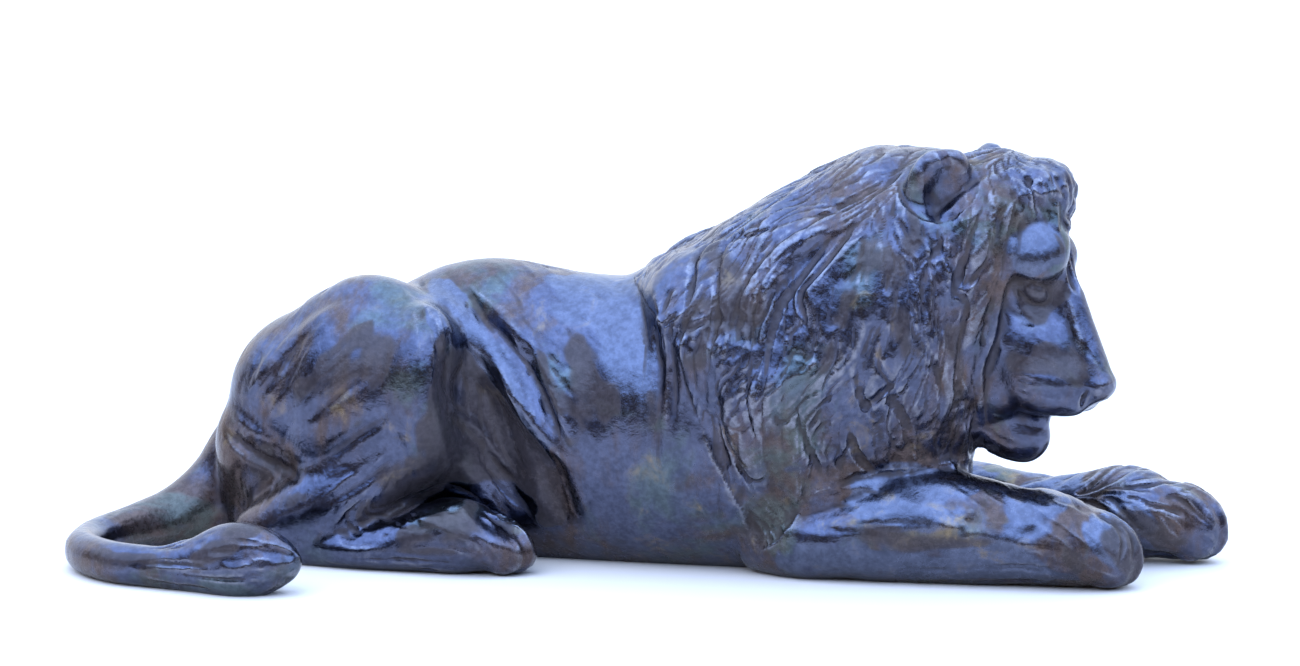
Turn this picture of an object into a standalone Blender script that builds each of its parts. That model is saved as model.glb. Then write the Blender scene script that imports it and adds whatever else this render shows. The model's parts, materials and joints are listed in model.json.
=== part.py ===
"""A lying lion, cast in bronze as one piece.

The beast faces +X, its right flank is at -Y, and it rests on the plane Z = 0.
Every place and size of the figure is written in sculptor's centimetres: shares of the
lion's length, which are true centimetres when LENGTH is 2 m.
"""

import math

import bmesh
import bpy
import numpy as np
from mathutils import Euler, Matrix, Vector
from mathutils.bvhtree import BVHTree

# Driving sizes, in metres
LENGTH = 2.0  # from the bend of the tail to the far forepaw

CM = LENGTH / 200
COARSE_CLAY = 1.2  # spacing of the skin over the big masses, in centimetres
FACE_CLAY = 0.8  # spacing of the skin over the head's masses, in centimetres
FINE_CLAY = 0.6  # spacing of the skin over the whole beast, in centimetres
FACES = 9300  # triangles that the finished solid keeps

# The head's own frame: the point between the eyes, and how the head turns from straight ahead
HEAD_AT = (70.7, -6.5, 50.7)
HEAD_YAW, HEAD_PITCH, HEAD_ROLL = -16.0, 30.0, 0.0


def head_frame():
    """From the head's centimetres, x along the muzzle and z up, to the model's."""
    turn = Euler([math.radians(a) for a in (HEAD_ROLL, HEAD_PITCH, HEAD_YAW)])
    return Matrix.Translation(HEAD_AT) @ turn.to_matrix().to_4x4()


BODY = Matrix.Identity(4)
HEAD = head_frame()


def in_head(points):
    """Points of the model's centimetres in the head's own frame."""
    back = np.array(HEAD.inverted())
    return points @ back[:3, :3].T + back[:3, 3]


def unit(vectors):
    """The vectors made one long."""
    return vectors / np.maximum(np.linalg.norm(vectors, axis=-1, keepdims=True), 1e-9)


def soft(value, low, high):
    """From 0 at low to 1 at high, easing in and out."""
    t = np.clip((value - low) / (high - low), 0, 1)
    return t * t * (3 - 2 * t)


def smooth_rows(rows, between):
    """A Catmull-Rom curve through the rows of numbers, with some rows added between each two."""
    rows = np.asarray(rows, float)
    ends = np.vstack([2 * rows[0] - rows[1], rows, 2 * rows[-1] - rows[-2]])
    made = []
    for a, b, c, d in zip(ends, ends[1:], ends[2:], ends[3:]):
        for t in np.arange(between) / between:
            made.append(0.5 * (2 * b + (c - a) * t + (2 * a - 5 * b + 4 * c - d) * t**2
                               + (3 * b - a - 3 * c + d) * t**3))
    return np.array(made + [rows[-1]])


def new_object(name, mesh, frame=BODY):
    """The mesh, whose points are centimetres of the frame, as an object of the scene."""
    mesh.transform(Matrix.Scale(CM, 4) @ frame)
    made = bpy.data.objects.new(name, mesh)
    bpy.context.scene.collection.objects.link(made)
    return made


def ball(name, centre, radii, turn=(0, 0, 0), frame=BODY):
    """An ellipsoid, for a muscle or a pad. turn is in degrees about x, y and z."""
    lump = bmesh.new()
    place = Matrix.Translation(centre) @ Euler([math.radians(a) for a in turn]).to_matrix().to_4x4()
    bmesh.ops.create_uvsphere(lump, u_segments=32, v_segments=16, radius=1,
                              matrix=place @ Matrix.Diagonal((*radii, 1)))
    mesh = bpy.data.meshes.new(name)
    lump.to_mesh(mesh)
    lump.free()
    return new_object(name, mesh, frame)


def skin_over(name, rings, first, last, frame=BODY):
    """A closed form over the rings, each a row of points, with its ends drawn to the first and last point."""
    count, around = rings.shape[:2]
    points = np.vstack([rings.reshape(-1, 3), first, last])
    index = np.arange(count * around).reshape(count, around)
    turned = np.roll(index, -1, axis=1)
    walls = np.stack([index[:-1], turned[:-1], turned[1:], index[1:]], axis=-1).reshape(-1, 4)
    start, end = count * around, count * around + 1
    caps = [(start, b, a) for a, b in zip(index[0].tolist(), turned[0].tolist())]
    caps += [(end, a, b) for a, b in zip(index[-1].tolist(), turned[-1].tolist())]
    mesh = bpy.data.meshes.new(name)
    mesh.from_pydata(points.tolist(), [], walls.tolist() + caps)
    return new_object(name, mesh, frame)


def sweep(name, rows, upright=False, frame=BODY, around=32, between=6):
    """A rounded form along a path. Each row is x, y, z, half the width and half the height there.

    Its rings stand square to the path, or square to x if upright is true."""
    rows = smooth_rows(rows, between)
    path, half_width, half_height = rows[:, :3], rows[:, 3], rows[:, 4]
    along = np.gradient(path, axis=0)
    if upright:
        along = np.tile((1.0, 0.0, 0.0), (len(rows), 1))
    along = unit(along)
    side = unit(np.cross((0.0, 0.0, 1.0), along))
    up = np.cross(along, side)
    angle = np.linspace(0, math.tau, around, endpoint=False)
    rings = (path[:, None]
             + side[:, None] * (half_width[:, None] * np.cos(angle))[..., None]
             + up[:, None] * (half_height[:, None] * np.sin(angle))[..., None])
    return skin_over(name, rings, path[0], path[-1], frame)


def slab(name, rows):
    """A sweep whose rows are x, y, top, bottom and half the width, with upright rings."""
    return sweep(name, [(x, y, (top + low) / 2, half, (top - low) / 2) for x, y, top, low, half in rows],
                 upright=True)


def both_sides(make, name, *form, frame=BODY, **more):
    """The same form on the right flank, as given, and on the left one, mirrored in y."""
    return [make(name, *form, frame=frame @ Matrix.Scale(side, 4, (0, 1, 0)), **more)
            for side in (1, -1)]


def evaluated(obj, name):
    """A new object with the modifiers of obj applied. obj is removed."""
    graph = bpy.context.evaluated_depsgraph_get()
    mesh = bpy.data.meshes.new_from_object(obj.evaluated_get(graph))
    bpy.data.objects.remove(obj)
    made = bpy.data.objects.new(name, mesh)
    bpy.context.scene.collection.objects.link(made)
    return made


def fuse(name, pieces, spacing, rounds):
    """The pieces run together as clay: remeshed as one skin, then smoothed."""
    clay = bmesh.new()
    for piece in pieces:
        clay.from_mesh(piece.data)
        bpy.data.objects.remove(piece)
    bmesh.ops.recalc_face_normals(clay, faces=clay.faces)
    mesh = bpy.data.meshes.new(name)
    clay.to_mesh(mesh)
    clay.free()
    made = bpy.data.objects.new(name, mesh)
    bpy.context.scene.collection.objects.link(made)
    remesh = made.modifiers.new("skin", "REMESH")
    remesh.mode = "VOXEL"
    remesh.voxel_size = spacing * CM
    soften = made.modifiers.new("soften", "SMOOTH")
    soften.factor = 0.5
    soften.iterations = rounds
    return evaluated(made, name)


def vectors_of(collection, name):
    """The named vectors of a mesh's points as rows."""
    read = np.empty(len(collection) * 3)
    collection.foreach_get(name, read)
    return read.reshape(-1, 3)


def points_of(obj):
    """The points of the skin, in centimetres, and the normals there."""
    return vectors_of(obj.data.vertices, "co") / CM, vectors_of(obj.data.vertex_normals, "vector")


def move_skin(obj, points):
    """Sets the skin's points, given in centimetres."""
    obj.data.vertices.foreach_set("co", (points * CM).ravel())
    obj.data.update()


def distance_to(points, path):
    """The distance of each point from the path, and how far along the path its foot lies, from 0 to 1."""
    path = np.asarray(path, float)
    lengths = np.maximum(np.linalg.norm(np.diff(path, axis=0), axis=1), 1e-6)
    nearest = np.full(len(points), np.inf)
    share = np.zeros(len(points))
    before = 0.0
    for start, step, length in zip(path, np.diff(path, axis=0), lengths):
        t = np.clip((points - start) @ step / length**2, 0, 1)
        away = np.linalg.norm(points - start - t[:, None] * step, axis=1)
        closer = away < nearest
        nearest = np.where(closer, away, nearest)
        share = np.where(closer, (before + t * length) / lengths.sum(), share)
        before += length
    return nearest, share


def carve(obj, strokes, frame=BODY, sides=(-1, 1)):
    """Pushes the skin in or out along strokes, each (path, half its width, height).

    A path of (x, z) points is drawn on the flank seen from the side, and one of (x, y, z)
    points is drawn in space with y on the right flank. Each stroke is made on each side asked for."""
    points, normals = points_of(obj)
    to_frame = np.array(frame.inverted())
    points = points @ to_frame[:3, :3].T + to_frame[:3, 3]
    normals = normals @ np.array(frame)[:3, :3]
    push = np.zeros(len(points))
    for side in sides:
        facing = np.clip(side * normals[:, 1] * 2 + 0.2, 0, 1) * (side * points[:, 1] > 0)
        for path, half, height in strokes:
            flat = len(path[0]) == 2
            path = np.asarray(path, float)
            if not flat:
                path = path * (1, -side, 1)
            if len(path) > 2:
                path = smooth_rows(path, 4)
            where = points[:, (0, 2)] if flat else points
            near = ((where > path.min(axis=0) - half) & (where < path.max(axis=0) + half)).all(axis=1)
            away, share = distance_to(where[near], path)
            ends = soft(np.minimum(share, 1 - share), -0.04, 0.3) if len(path) > 2 else 1
            bell = np.clip(1 - (away / (half * (0.4 + 0.6 * ends))) ** 2, 0, 1) ** 2
            push[near] += height * bell * ends * (facing[near] if flat else 1)
    from_frame = np.array(frame)
    moved = points + normals * push[:, None]
    move_skin(obj, moved @ from_frame[:3, :3].T + from_frame[:3, 3])


def trunk():
    """Rump, belly and chest. Rows: x, y, top, bottom and half the width."""
    return slab("trunk", [(-78, 0, 19, 4, 8), (-73, 0, 27, -2, 13), (-67, 0, 34, -2, 16),
                          (-60, 0, 39, -2, 18),
                          (-52, 0, 43, -2, 19), (-44, 0, 47.4, -2, 18), (-38, 0, 50.4, -2, 17.5),
                          (-31, 0, 52, -2, 17), (-24, 0, 52, -2, 17), (-14, 0, 50.3, -2, 18),
                          (-5, 0, 49.6, -2, 19.5), (5, 0, 50, -2, 20.5), (15, 0, 52, -2, 21.5),
                          (25, 0, 52, -2, 21.5), (35, 0, 48, -2, 20), (43, -1, 42, -2, 16),
                          (49, -1, 34, 3, 12)])


def haunch(side, lift):
    """Pelvis, thigh, knee and shank of one side; lift is how high the hip is carried, as a share."""
    frame = BODY @ Matrix.Diagonal((1, side, lift, 1))
    return [ball("rump", (-56.5, -7.5, 28), (18, 14, 16), (0, -8, 0), frame),
            sweep("pelvis", [(-73, -7, 17.5, 4.6, 5.6), (-66.4, -8.6, 28, 5.6, 6.4),
                             (-61.6, -9.4, 34.2, 6.2, 6.6),
                             (-57, -10, 38.4, 6.8, 6.9), (-52, -10.6, 41.7, 7.2, 7),
                             (-47.5, -11, 43.4, 7.4, 6.8),
                             (-41.5, -12, 42.2, 6.8, 6.2), (-36, -14, 38, 5.4, 6.4)], frame=frame),
            ball("thigh", (-46.5, -13, 27), (16.5, 13, 21), (0, 0, 6), frame),
            ball("seat", (-65, -9, 19), (12, 10, 12), (0, -20, 0), frame),
            ball("knee", (-36.4, -17.3, 30), (8.4, 8.8, 16.5), (0, 0, 0), frame),
            sweep("shank", [(-38, -18, 25, 6, 7), (-48, -18.5, 14, 8, 8), (-58, -19, 8, 7, 7),
                            (-66, -19, 5, 5, 5)], frame=frame)]


def paw(tip, across, wide, high, frame=BODY):
    """Four toes side by side, each with its knuckle, on a foot that ends at x = tip."""
    made = []
    for k, back in ((-1.5, 1.8), (-0.5, 0), (0.5, 0.2), (1.5, 2)):
        y = across + k * wide / 2
        toe = [(tip - 12 - back, y * 0.6 + across * 0.4, high * 0.98, wide * 0.3, high * 0.42),
               (tip - 8 - back, y, high * 0.98, wide * 0.35, high * 0.6),
               (tip - 4.2 - back, y, high * 0.62, wide * 0.37, high * 0.62),
               (tip - 1.6 - back, y, high * 0.44, wide * 0.31, high * 0.46),
               (tip - back, y, high * 0.36, wide * 0.14, high * 0.2)]
        made.append(sweep("toe", toe, frame=frame, around=24, between=5))
    return made


def hind_feet():
    """Both hind feet, laid flat under the thighs, with their toes."""
    feet = both_sides(sweep, "hind_foot", [(-62, -19, 3.4, 4, 4), (-54, -20, 3.6, 5, 4.2),
                                           (-46.5, -21, 3.6, 5.6, 4), (-40, -21.5, 4.6, 6, 5),
                                           (-34, -22, 6, 6.6, 6.3), (-29, -22, 6.3, 7, 6.6),
                                           (-24.5, -22, 5.6, 6.4, 5.6), (-20.5, -22, 4.4, 5, 4.2),
                                           (-18.6, -22, 4, 3.4, 3)])
    for side in (1, -1):
        feet += paw(-15.2, -22, 3.7, 7.2, BODY @ Matrix.Scale(side, 4, (0, 1, 0)))
    return feet


def tail():
    """The tail comes off the rump, bends round on the ground and ends in a tuft beside the haunch."""
    rows = [(-62, -1, 21, 10, 13.5), (-70, -1, 15.2, 9, 11), (-77.5, -2.5, 8.8, 7.2, 8.2),
            (-84.5, -7, 5, 5.6, 5.8),
            (-90.5, -15, 3.8, 4.4, 4.4), (-94.3, -25, 3.5, 3.7, 3.7), (-92.5, -35, 3.5, 3.5, 3.6),
            (-85, -42.5, 3.5, 3.5, 3.6), (-76, -45.3, 3.6, 3.5, 3.7), (-69, -46.3, 4.3, 4.2, 4.8),
            (-62, -47, 5.4, 5.8, 6.6), (-56.5, -47, 5.6, 5.2, 6), (-52, -46.7, 5.7, 3, 3.6),
            (-49.3, -46.7, 6, 0.8, 0.8)]
    return [sweep("tail", rows)]


def forelegs():
    """Both forelegs stretched out in front, the far one further, with their toes."""
    near = sweep("near_foreleg", [(20, -9, 6, 6, 6), (25, -10.5, 6.2, 7.6, 6.8), (30, -11.5, 6.4, 8.6, 7.4),
                                  (36, -12, 7.2, 9, 7.6),
                                  (42, -12, 8.2, 9.2, 9), (51, -12, 9.4, 9.2, 10), (61, -12, 8.7, 8.6, 9.2),
                                  (67, -12, 8.3, 8, 8.4), (71, -12, 8.2, 8.2, 8.3), (76, -12, 7, 7.8, 7.2),
                                  (80, -12, 5.4, 6.4, 5.4), (83, -12, 4.4, 4.4, 4)])
    far = sweep("far_foreleg", [(24, 12, 6, 8, 7), (36, 13, 7.4, 9, 8), (48, 13, 8.4, 8.8, 8.8),
                                (58, 13, 8, 7.8, 8.2), (64, 13, 7.4, 7.2, 7.6), (71, 13, 7.2, 7.2, 7.4),
                                (77, 13, 7.6, 7.8, 7.9), (83, 13, 8.4, 8.4, 8.4), (88, 13, 7.2, 7.8, 7.2),
                                (92.4, 13, 5.4, 6.2, 5.4), (95.4, 13, 4.4, 4.2, 4)])
    return [near, far] + paw(87.8, -12, 4.3, 8.6) + paw(100.2, 13, 4.4, 9.2)


def mane():
    """Mane over neck, shoulders and chest. Rows: x, y, top, bottom and half the width."""
    over = slab("mane", [(-2.5, 0, 50.6, 47.4, 3), (2, 0, 53, 40, 13), (6, 0, 56, 31, 19),
                         (11, 0, 58.6, 20, 22),
                         (17, 0, 62.4, 9, 23.5), (24, 0, 66.6, 2, 24.5), (32, 0, 70.4, 6, 24.5),
                         (40, -1, 73, 11, 24), (48, -2, 73.6, 14, 21.5), (54, -3, 73.4, 17, 17.5),
                         (58, -4, 72, 20, 12)])
    bib = ball("bib", (48, -3, 20), (9.5, 13, 20), (0, 0, -8))
    return [over, bib]


def skull():
    """The head's masses: cranium, forehead, nose bridge, cheeks, whisker pads and jaw."""
    made = [ball("crown", (-15, 0, 3.6), (12.5, 12.6, 13), frame=HEAD),
            ball("forelock", (-9.8, 0, 10.4), (6.4, 8.8, 8.4), frame=HEAD),
            ball("forehead", (-7, 0, 3.2), (6.2, 8, 7.2), frame=HEAD),
            sweep("bridge", [(-9, 0, 2, 6, 6.2), (-3, 0, 1, 4.6, 6), (2, 0, -1.9, 4, 5.8),
                             (7, 0, -5.2, 4, 5.2),
                             (12, 0, -8.6, 4.3, 4.8), (15.6, 0, -10.4, 4.1, 4), (18, 0, -11.2, 2.6, 2.6)],
                  frame=HEAD),
            sweep("jowls", [(-16, 0, -6, 11.5, 13), (-9, 0, -8.4, 10.8, 13.4), (-2, 0, -11, 9.2, 10.6),
                            (5, 0, -12.6, 7.4, 7.4), (10.5, 0, -13.2, 5.6, 5.2), (15.4, 0, -13.2, 3.4, 3)],
                  frame=HEAD),
            sweep("jaw", [(-8, 0, -20, 8.4, 8.6), (-3, 0, -22.8, 7.4, 7.2), (2, 0, -24.8, 6.6, 6.2),
                          (6.4, 0, -25, 5.8, 5.8), (10, 0, -24.6, 4.9, 5), (12.4, 0, -24, 3.4, 3.8),
                          (14, 0, -23.6, 1.2, 1.4)], frame=HEAD)]
    made += both_sides(ball, "cheek", (3, -3.7, -11.4), (10, 5.6, 8.4), (0, 24, 0), frame=HEAD)
    made += both_sides(ball, "temple", (-8, -6.8, -0.6), (5, 4.4, 9), (0, 0, 0), frame=HEAD)
    made += both_sides(ball, "whisker_pad", (8, -4.2, -13.6), (8, 5.8, 6.2), (0, -10, 0), frame=HEAD)
    made += both_sides(ball, "upper_lip", (12.6, -2.8, -13.2), (4.8, 4, 4), (0, 10, 0), frame=HEAD)
    made += both_sides(ball, "lip_fold", (2.8, -4.8, -18.2), (5.2, 4.2, 5.8), (0, -8, 0), frame=HEAD)
    made.append(ball("brow", (-4.1, -5.2, 5.6), (5.6, 5.7, 6.1), (0, -20, 24), frame=HEAD))
    made.append(ball("far_brow", (-3.4, 3.8, 3.2), (5, 4.4, 5), (0, -20, -20), frame=HEAD))
    made += both_sides(sweep, "ruff", [(-17, -9, 6, 5, 6), (-11.4, -10.4, -2, 5, 6.4),
                                       (-7.6, -10.4, -10, 5, 6.2),
                                       (-4.6, -9, -18, 4.6, 6), (-2.4, -6.4, -26, 4.6, 5)], frame=HEAD)
    return made


EARS = ((-22, -12.4, 7.6), (-23, 12.4, 5.4))


def head():
    """Nose, lower lip and ears, set on the skull."""
    made = [ball("nose", (16.6, 0, -9.8), (2.5, 4.2, 3), (0, 15, 0), frame=HEAD),
            ball("lip", (8.8, 0, -20.8), (3.4, 3.8, 1.6), (0, -22, 0), frame=HEAD)]
    for place in EARS:
        made.append(ball("ear", place, (2.6, 5.6, 7), (0, -10, math.copysign(55, place[1])), frame=HEAD))
    return made


def eyes():
    """Each eye with its two lids."""
    made = both_sides(ball, "eye", (-0.4, -4.7, -0.5), (2.8, 2.4, 1.7), (0, 14, 22), frame=HEAD)
    outer, inner = (-4, -7.4, -0.2), (2.8, -4.9, -1.2)
    lids = ([(-2.2, -7.3, 0.9), (-0.2, -7.2, 1.1), (1.5, -6.2, 0.3)],
            [(-2.2, -6.7, -1.3), (-0.2, -6.6, -1.8), (1.4, -5.6, -2)])
    for lid, thick in zip(lids, (0.8, 0.4)):
        rows = [(*outer, 0.3, 0.3)] + [(*point, thick, thick) for point in lid] + [(*inner, 0.4, 0.4)]
        made += both_sides(sweep, "lid", rows, frame=HEAD, around=16)
    return made


# Folds of the flank between haunch and mane, and the muscles of the thigh, on the flank's (x, z)
FLANK_FOLDS = [
    ([(-39, 48.4), (-31.6, 43.1), (-26, 35.6), (-19.2, 27.9), (-13.9, 22.2), (-8.6, 17.6)], 3.6, 1.7),
    ([(-30.6, 49), (-23.1, 43.7), (-18.1, 38), (-14.1, 31.4), (-11, 25.8), (-8.2, 19.6)], 2.2, 1.0),
    ([(-34.5, 48.5), (-28.1, 44), (-21.8, 38.9), (-17.6, 34), (-14.2, 28.5), (-11, 22.4)], 1.0, -0.6),
    ([(-20.4, 41.4), (-17.4, 36), (-14.7, 29.8), (-12.5, 24)], 2.4, -1.1),
    ([(-12, 44), (-9, 38), (-6, 31), (-4.4, 23)], 4.2, -0.6),
    ([(-30.6, 44), (-27.6, 33), (-24.8, 22), (-21, 12), (-16.4, 6)], 6.4, -3.6),
    ([(-25, 33), (-19, 22), (-13.4, 13), (-9, 7)], 5, -1.1),
    ([(-30.2, 31.6), (-27.2, 24.4), (-24, 18), (-20.4, 13)], 0.9, 1.0),
    ([(1.6, 51), (4.4, 43.7), (5.6, 36), (5.6, 24), (6, 14)], 1.2, -0.45),
    ([(5.4, 51), (8, 42.5), (8.6, 34), (8.2, 24)], 1.2, -0.6),
    ([(3.4, 51), (6.4, 43), (7.4, 34), (7, 24)], 1.1, 0.5),
    ([(-1.4, 50.6), (1.4, 45), (2.6, 38), (2.4, 30)], 1.0, -0.35),
    ([(-42, 49.4), (-37.6, 46.6), (-34, 42.6)], 0.9, -0.7),
    ([(-37, 50.6), (-30.6, 47.2), (-25.4, 42.6)], 0.8, -0.5),
    ([(-28, 51), (-23, 47.8), (-19, 43.4)], 0.9, -0.6),
]
THIGH = [
    ([(-74, 23.4), (-68.6, 19.6), (-62, 16.4), (-56.6, 14.8)], 1.6, -1.2),
    ([(-73, 26.4), (-67.6, 23), (-61.4, 20), (-56, 18.4)], 2.2, 0.7),
    ([(-40, 28), (-46.6, 23.6), (-54, 18.6)], 1.7, -0.7),
    ([(-38.6, 20.6), (-45, 16), (-52, 11.4)], 1.5, -0.6),
    ([(-43.4, 35.4), (-50, 30.4), (-57, 25)], 1.8, -0.5),
    ([(-47.6, 46.6), (-54.6, 42.4), (-62, 36.4), (-68.6, 28)], 2.4, 0.7),
    ([(-34.6, 12.6), (-40, 10.2), (-46, 9)], 1.5, -0.9),
    ([(-52, 44.6), (-58, 38.6), (-63.4, 31.4)], 1.1, -0.5),
]
FORELEG = [
    ([(33, 15.4), (42, 18.4), (52, 19.6)], 1.4, -0.9),
    ([(62, 17), (60.6, 12.6), (57, 9)], 1.4, -0.4),
    ([(73, 15), (71.4, 12), (68, 9)], 1.2, -0.35),
    ([(46, 17), (53, 15.6), (60, 11.6)], 2.6, -0.5),
    ([(50, 13), (60, 10), (70, 7.6), (78, 6.4)], 2.4, 0.4),
]


def shape_body(lion):
    """Folds of the flank, muscles of the thigh and of the foreleg."""
    carve(lion, FLANK_FOLDS)
    carve(lion, THIGH)
    carve(lion, FORELEG)


def shape_face_masses(face):
    """Eye sockets and the lips' parting."""
    carve(face, [([(-5, -9.6, -0.2), (-1, -8.4, -0.2), (3.4, -4.6, -0.6)], 2.6, -1.3),
                 ([(1.5, -9.4, -25.2), (5.4, -8.6, -23.6), (8, -8, -20.8), (12, -6, -18.8),
                   (15.4, -3, -17.4)], 1.3, -1.5)],
          frame=HEAD)


def shape_ears(lion):
    """The hollow of each ear."""
    for (x, y, z), side in zip(EARS, (-1, 1)):
        hollow = ((x + 2.2, -abs(y) - 2.6, z + 2), (x + 2.2, -abs(y) - 2.2, z - 1.4))
        carve(lion, [(hollow, 4.4, -2)], frame=HEAD, sides=(side,))


def top_of_mane(x):
    """Height of the mane's crest over the neck."""
    return np.interp(x, (-2, 17, 38, 56, 75), (51, 62, 73, 75, 70))


def round_ears(points):
    """The push that parts the hair round each ear."""
    local = in_head(points)
    push = np.zeros_like(local)
    for place in EARS:
        away = local - place
        push += unit(away) * 1.8 * np.clip(1 - np.linalg.norm(away, axis=1, keepdims=True) / 13, 0, 1)
    return push @ np.array(HEAD)[:3, :3].T


def flow_on_head(points, normals):
    """On the crown the hair falls away from a whorl, forward over the brow and down the sides."""
    whorl = np.array(HEAD @ Vector((-22, 0, 12)))
    way = unit(points - whorl + (0, 0, -4)) + round_ears(points)
    way -= normals * (way * normals).sum(axis=1, keepdims=True)
    return unit(way)


def flow(points, normals):
    """Which way the hair lies: back along the crest, turning down the neck, and straight down in front."""
    below = top_of_mane(points[:, 0]) - points[:, 2]
    turned = np.clip(below / np.interp(points[:, 0], (0, 45, 65), (22, 20, 9)), 0, 1)
    turned = turned * turned * (3 - 2 * turned)
    angle = np.radians(25 + 65 * turned + 10 * np.clip((below - 38) / 12, 0, 1))
    way = np.stack([-np.cos(angle), np.sign(points[:, 1]) * 0.55 * (1 - turned), -np.sin(angle)], axis=1)
    front = np.clip(normals[:, :1] * 2 - 0.8, 0, 1) * (points[:, 2:] < 50)
    way = way * (1 - front) + front * np.array((0.0, 0.0, -1.0)) + round_ears(points)
    way -= normals * (way * normals).sum(axis=1, keepdims=True)
    return unit(way)


def on_skin(tree, points):
    """The nearest points of the skin, in centimetres, and its normals there."""
    found = [tree.find_nearest(point)[:2] for point in (points * CM).tolist()]
    return np.array([place for place, _ in found]) / CM, np.array([normal for _, normal in found])


def off_ears(local):
    """True for points of the head's frame that are clear of the ears."""
    return np.all([np.linalg.norm(local - place, axis=1) > 7 for place in EARS], axis=0)


def grows_on_crown(points):
    """The forelock: hair over the forehead, in front of the ears."""
    local = in_head(points)
    return (local[:, 2] > 11.5) & (local[:, 0] > -16) & (abs(local[:, 1]) < 9)


def hem(x):
    """Height of the mane's lower edge, over elbow and foreleg."""
    return np.interp(x, (14, 20, 26, 33, 44, 54), (8, 3, 7, 16, 19.5, 20.5))


def rear_edge(z):
    """Where the mane ends behind the shoulder, at each height."""
    return np.interp(z, (0, 12, 22, 32, 42, 50, 56), (24, 20, 15.5, 11.5, 8.5, -2, 4))


def haired(points, margin=0):
    """Where the mane lies: behind the face, off the ears and legs, and in front of its rear edge."""
    local = in_head(points)
    face = local[:, 0] > np.interp(local[:, 2], (-30, -22, -15, -7, -1, 4, 8, 14),
                                   (6, 3.2, 0.4, -2.4, -4, -6.4, -8.2, -10.5))
    back = points[:, 0] > rear_edge(points[:, 2]) + margin
    return ~face & off_ears(local) & (points[:, 2] > hem(points[:, 0])) & back


def grows(points):
    """Where the locks of the mane are rooted, so that they end at its edge."""
    return haired(points, np.interp(points[:, 2], (20, 40, 50, 60), (1, 4, 15, 12)))


def locks(lion, count, length, width, proud, seed, grows=grows, flow=flow):
    """Locks of hair laid on the skin where grows says: each follows the flow and ends in a point."""
    tree = BVHTree.FromObject(lion, bpy.context.evaluated_depsgraph_get())
    chance = np.random.default_rng(seed)
    roots = chance.permutation(points_of(lion)[0])
    roots = roots[grows(roots)][:count * 8]
    kept = []
    for root in roots:
        if not kept or np.linalg.norm(np.array(kept) - root, axis=1).min() > width * 0.9:
            kept.append(root)
    roots = np.array(kept[:count])
    steps = 9
    span = length * chance.uniform(0.7, 1.2, len(roots)) / (steps - 1)
    span *= np.clip((roots[:, 2] - hem(roots[:, 0])) / (0.8 * length), 0.35, 1)
    sway = chance.uniform(-0.25, 0.25, len(roots))
    points, normals = on_skin(tree, roots)
    trail, ups = [points], [normals]
    for step in range(steps - 1):
        way = flow(points, normals)
        way = way + np.cross(normals, way) * (sway * math.cos(step * 0.8))[:, None]
        points, normals = on_skin(tree, points + way * span[:, None])
        trail.append(points)
        ups.append(normals)
    made = []
    wide = width * chance.uniform(0.75, 1.25, len(roots))
    share = np.linspace(0, 1, steps)
    taper = np.clip(share * 3 + 0.35, 0, 1) * np.sqrt(np.clip(1 - share**2.5, 0.01, 1))
    lift = np.clip(share * 1.6, 0, 1) * (1 - 0.5 * share**4)
    for k in range(len(roots)):
        path = np.array([row[k] for row in trail])
        up = np.array([row[k] for row in ups])
        path = path + up * (proud * (lift - 0.75))[:, None]
        made.append(ribbon("lock", path, up, wide[k] / 2 * taper, proud * (0.3 + 0.7 * taper)))
    return made


def ribbon(name, path, up, half_width, half_height, around=10):
    """A flattened form along the path, its broad side facing up."""
    side = unit(np.cross(up, np.gradient(path, axis=0)))
    angle = np.linspace(0, math.tau, around, endpoint=False)
    rings = (path[:, None] + side[:, None] * (half_width[:, None] * np.cos(angle))[..., None]
             + up[:, None] * (half_height[:, None] * np.sin(angle))[..., None])
    return skin_over(name, rings, path[0], path[-1])


def thin(lion):
    """Fewer faces, and more of them kept where the form turns."""
    count = sum(len(face.vertices) - 2 for face in lion.data.polygons)
    fewer = lion.modifiers.new("fewer faces", "DECIMATE")
    fewer.ratio = FACES / count
    return evaluated(lion, "lion")


def drop_crumbs(clay):
    """Removes every loose bit but the largest body."""
    left = set(clay.verts)
    bodies = []
    while left:
        body, edge = set(), [left.pop()]
        while edge:
            vert = edge.pop()
            body.add(vert)
            reached = {link.other_vert(vert) for link in vert.link_edges} & left
            left -= reached
            edge.extend(reached)
        bodies.append(body)
    bodies.sort(key=len)
    bmesh.ops.delete(clay, geom=[vert for body in bodies[:-1] for vert in body], context="VERTS")


def seat(lion):
    """The underside cut flat on the floor and closed."""
    clay = bmesh.new()
    clay.from_mesh(lion.data)
    everything = clay.verts[:] + clay.edges[:] + clay.faces[:]
    bmesh.ops.bisect_plane(clay, geom=everything, plane_co=(0, 0, 0), plane_no=(0, 0, -1), clear_outer=True)
    rim = [edge for edge in clay.edges if edge.is_boundary]
    bmesh.ops.edgeloop_fill(clay, edges=rim)
    drop_crumbs(clay)
    bmesh.ops.recalc_face_normals(clay, faces=clay.faces)
    clay.to_mesh(lion.data)
    clay.free()


def bronze():
    """Brown patinated bronze, polished by hands and weather."""
    made = bpy.data.materials.new("bronze")
    made.use_nodes = True
    shader = made.node_tree.nodes["Principled BSDF"]
    shader.inputs["Base Color"].default_value = (0.10, 0.075, 0.06, 1)
    shader.inputs["Metallic"].default_value = 1
    shader.inputs["Roughness"].default_value = 0.32
    return made


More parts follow.
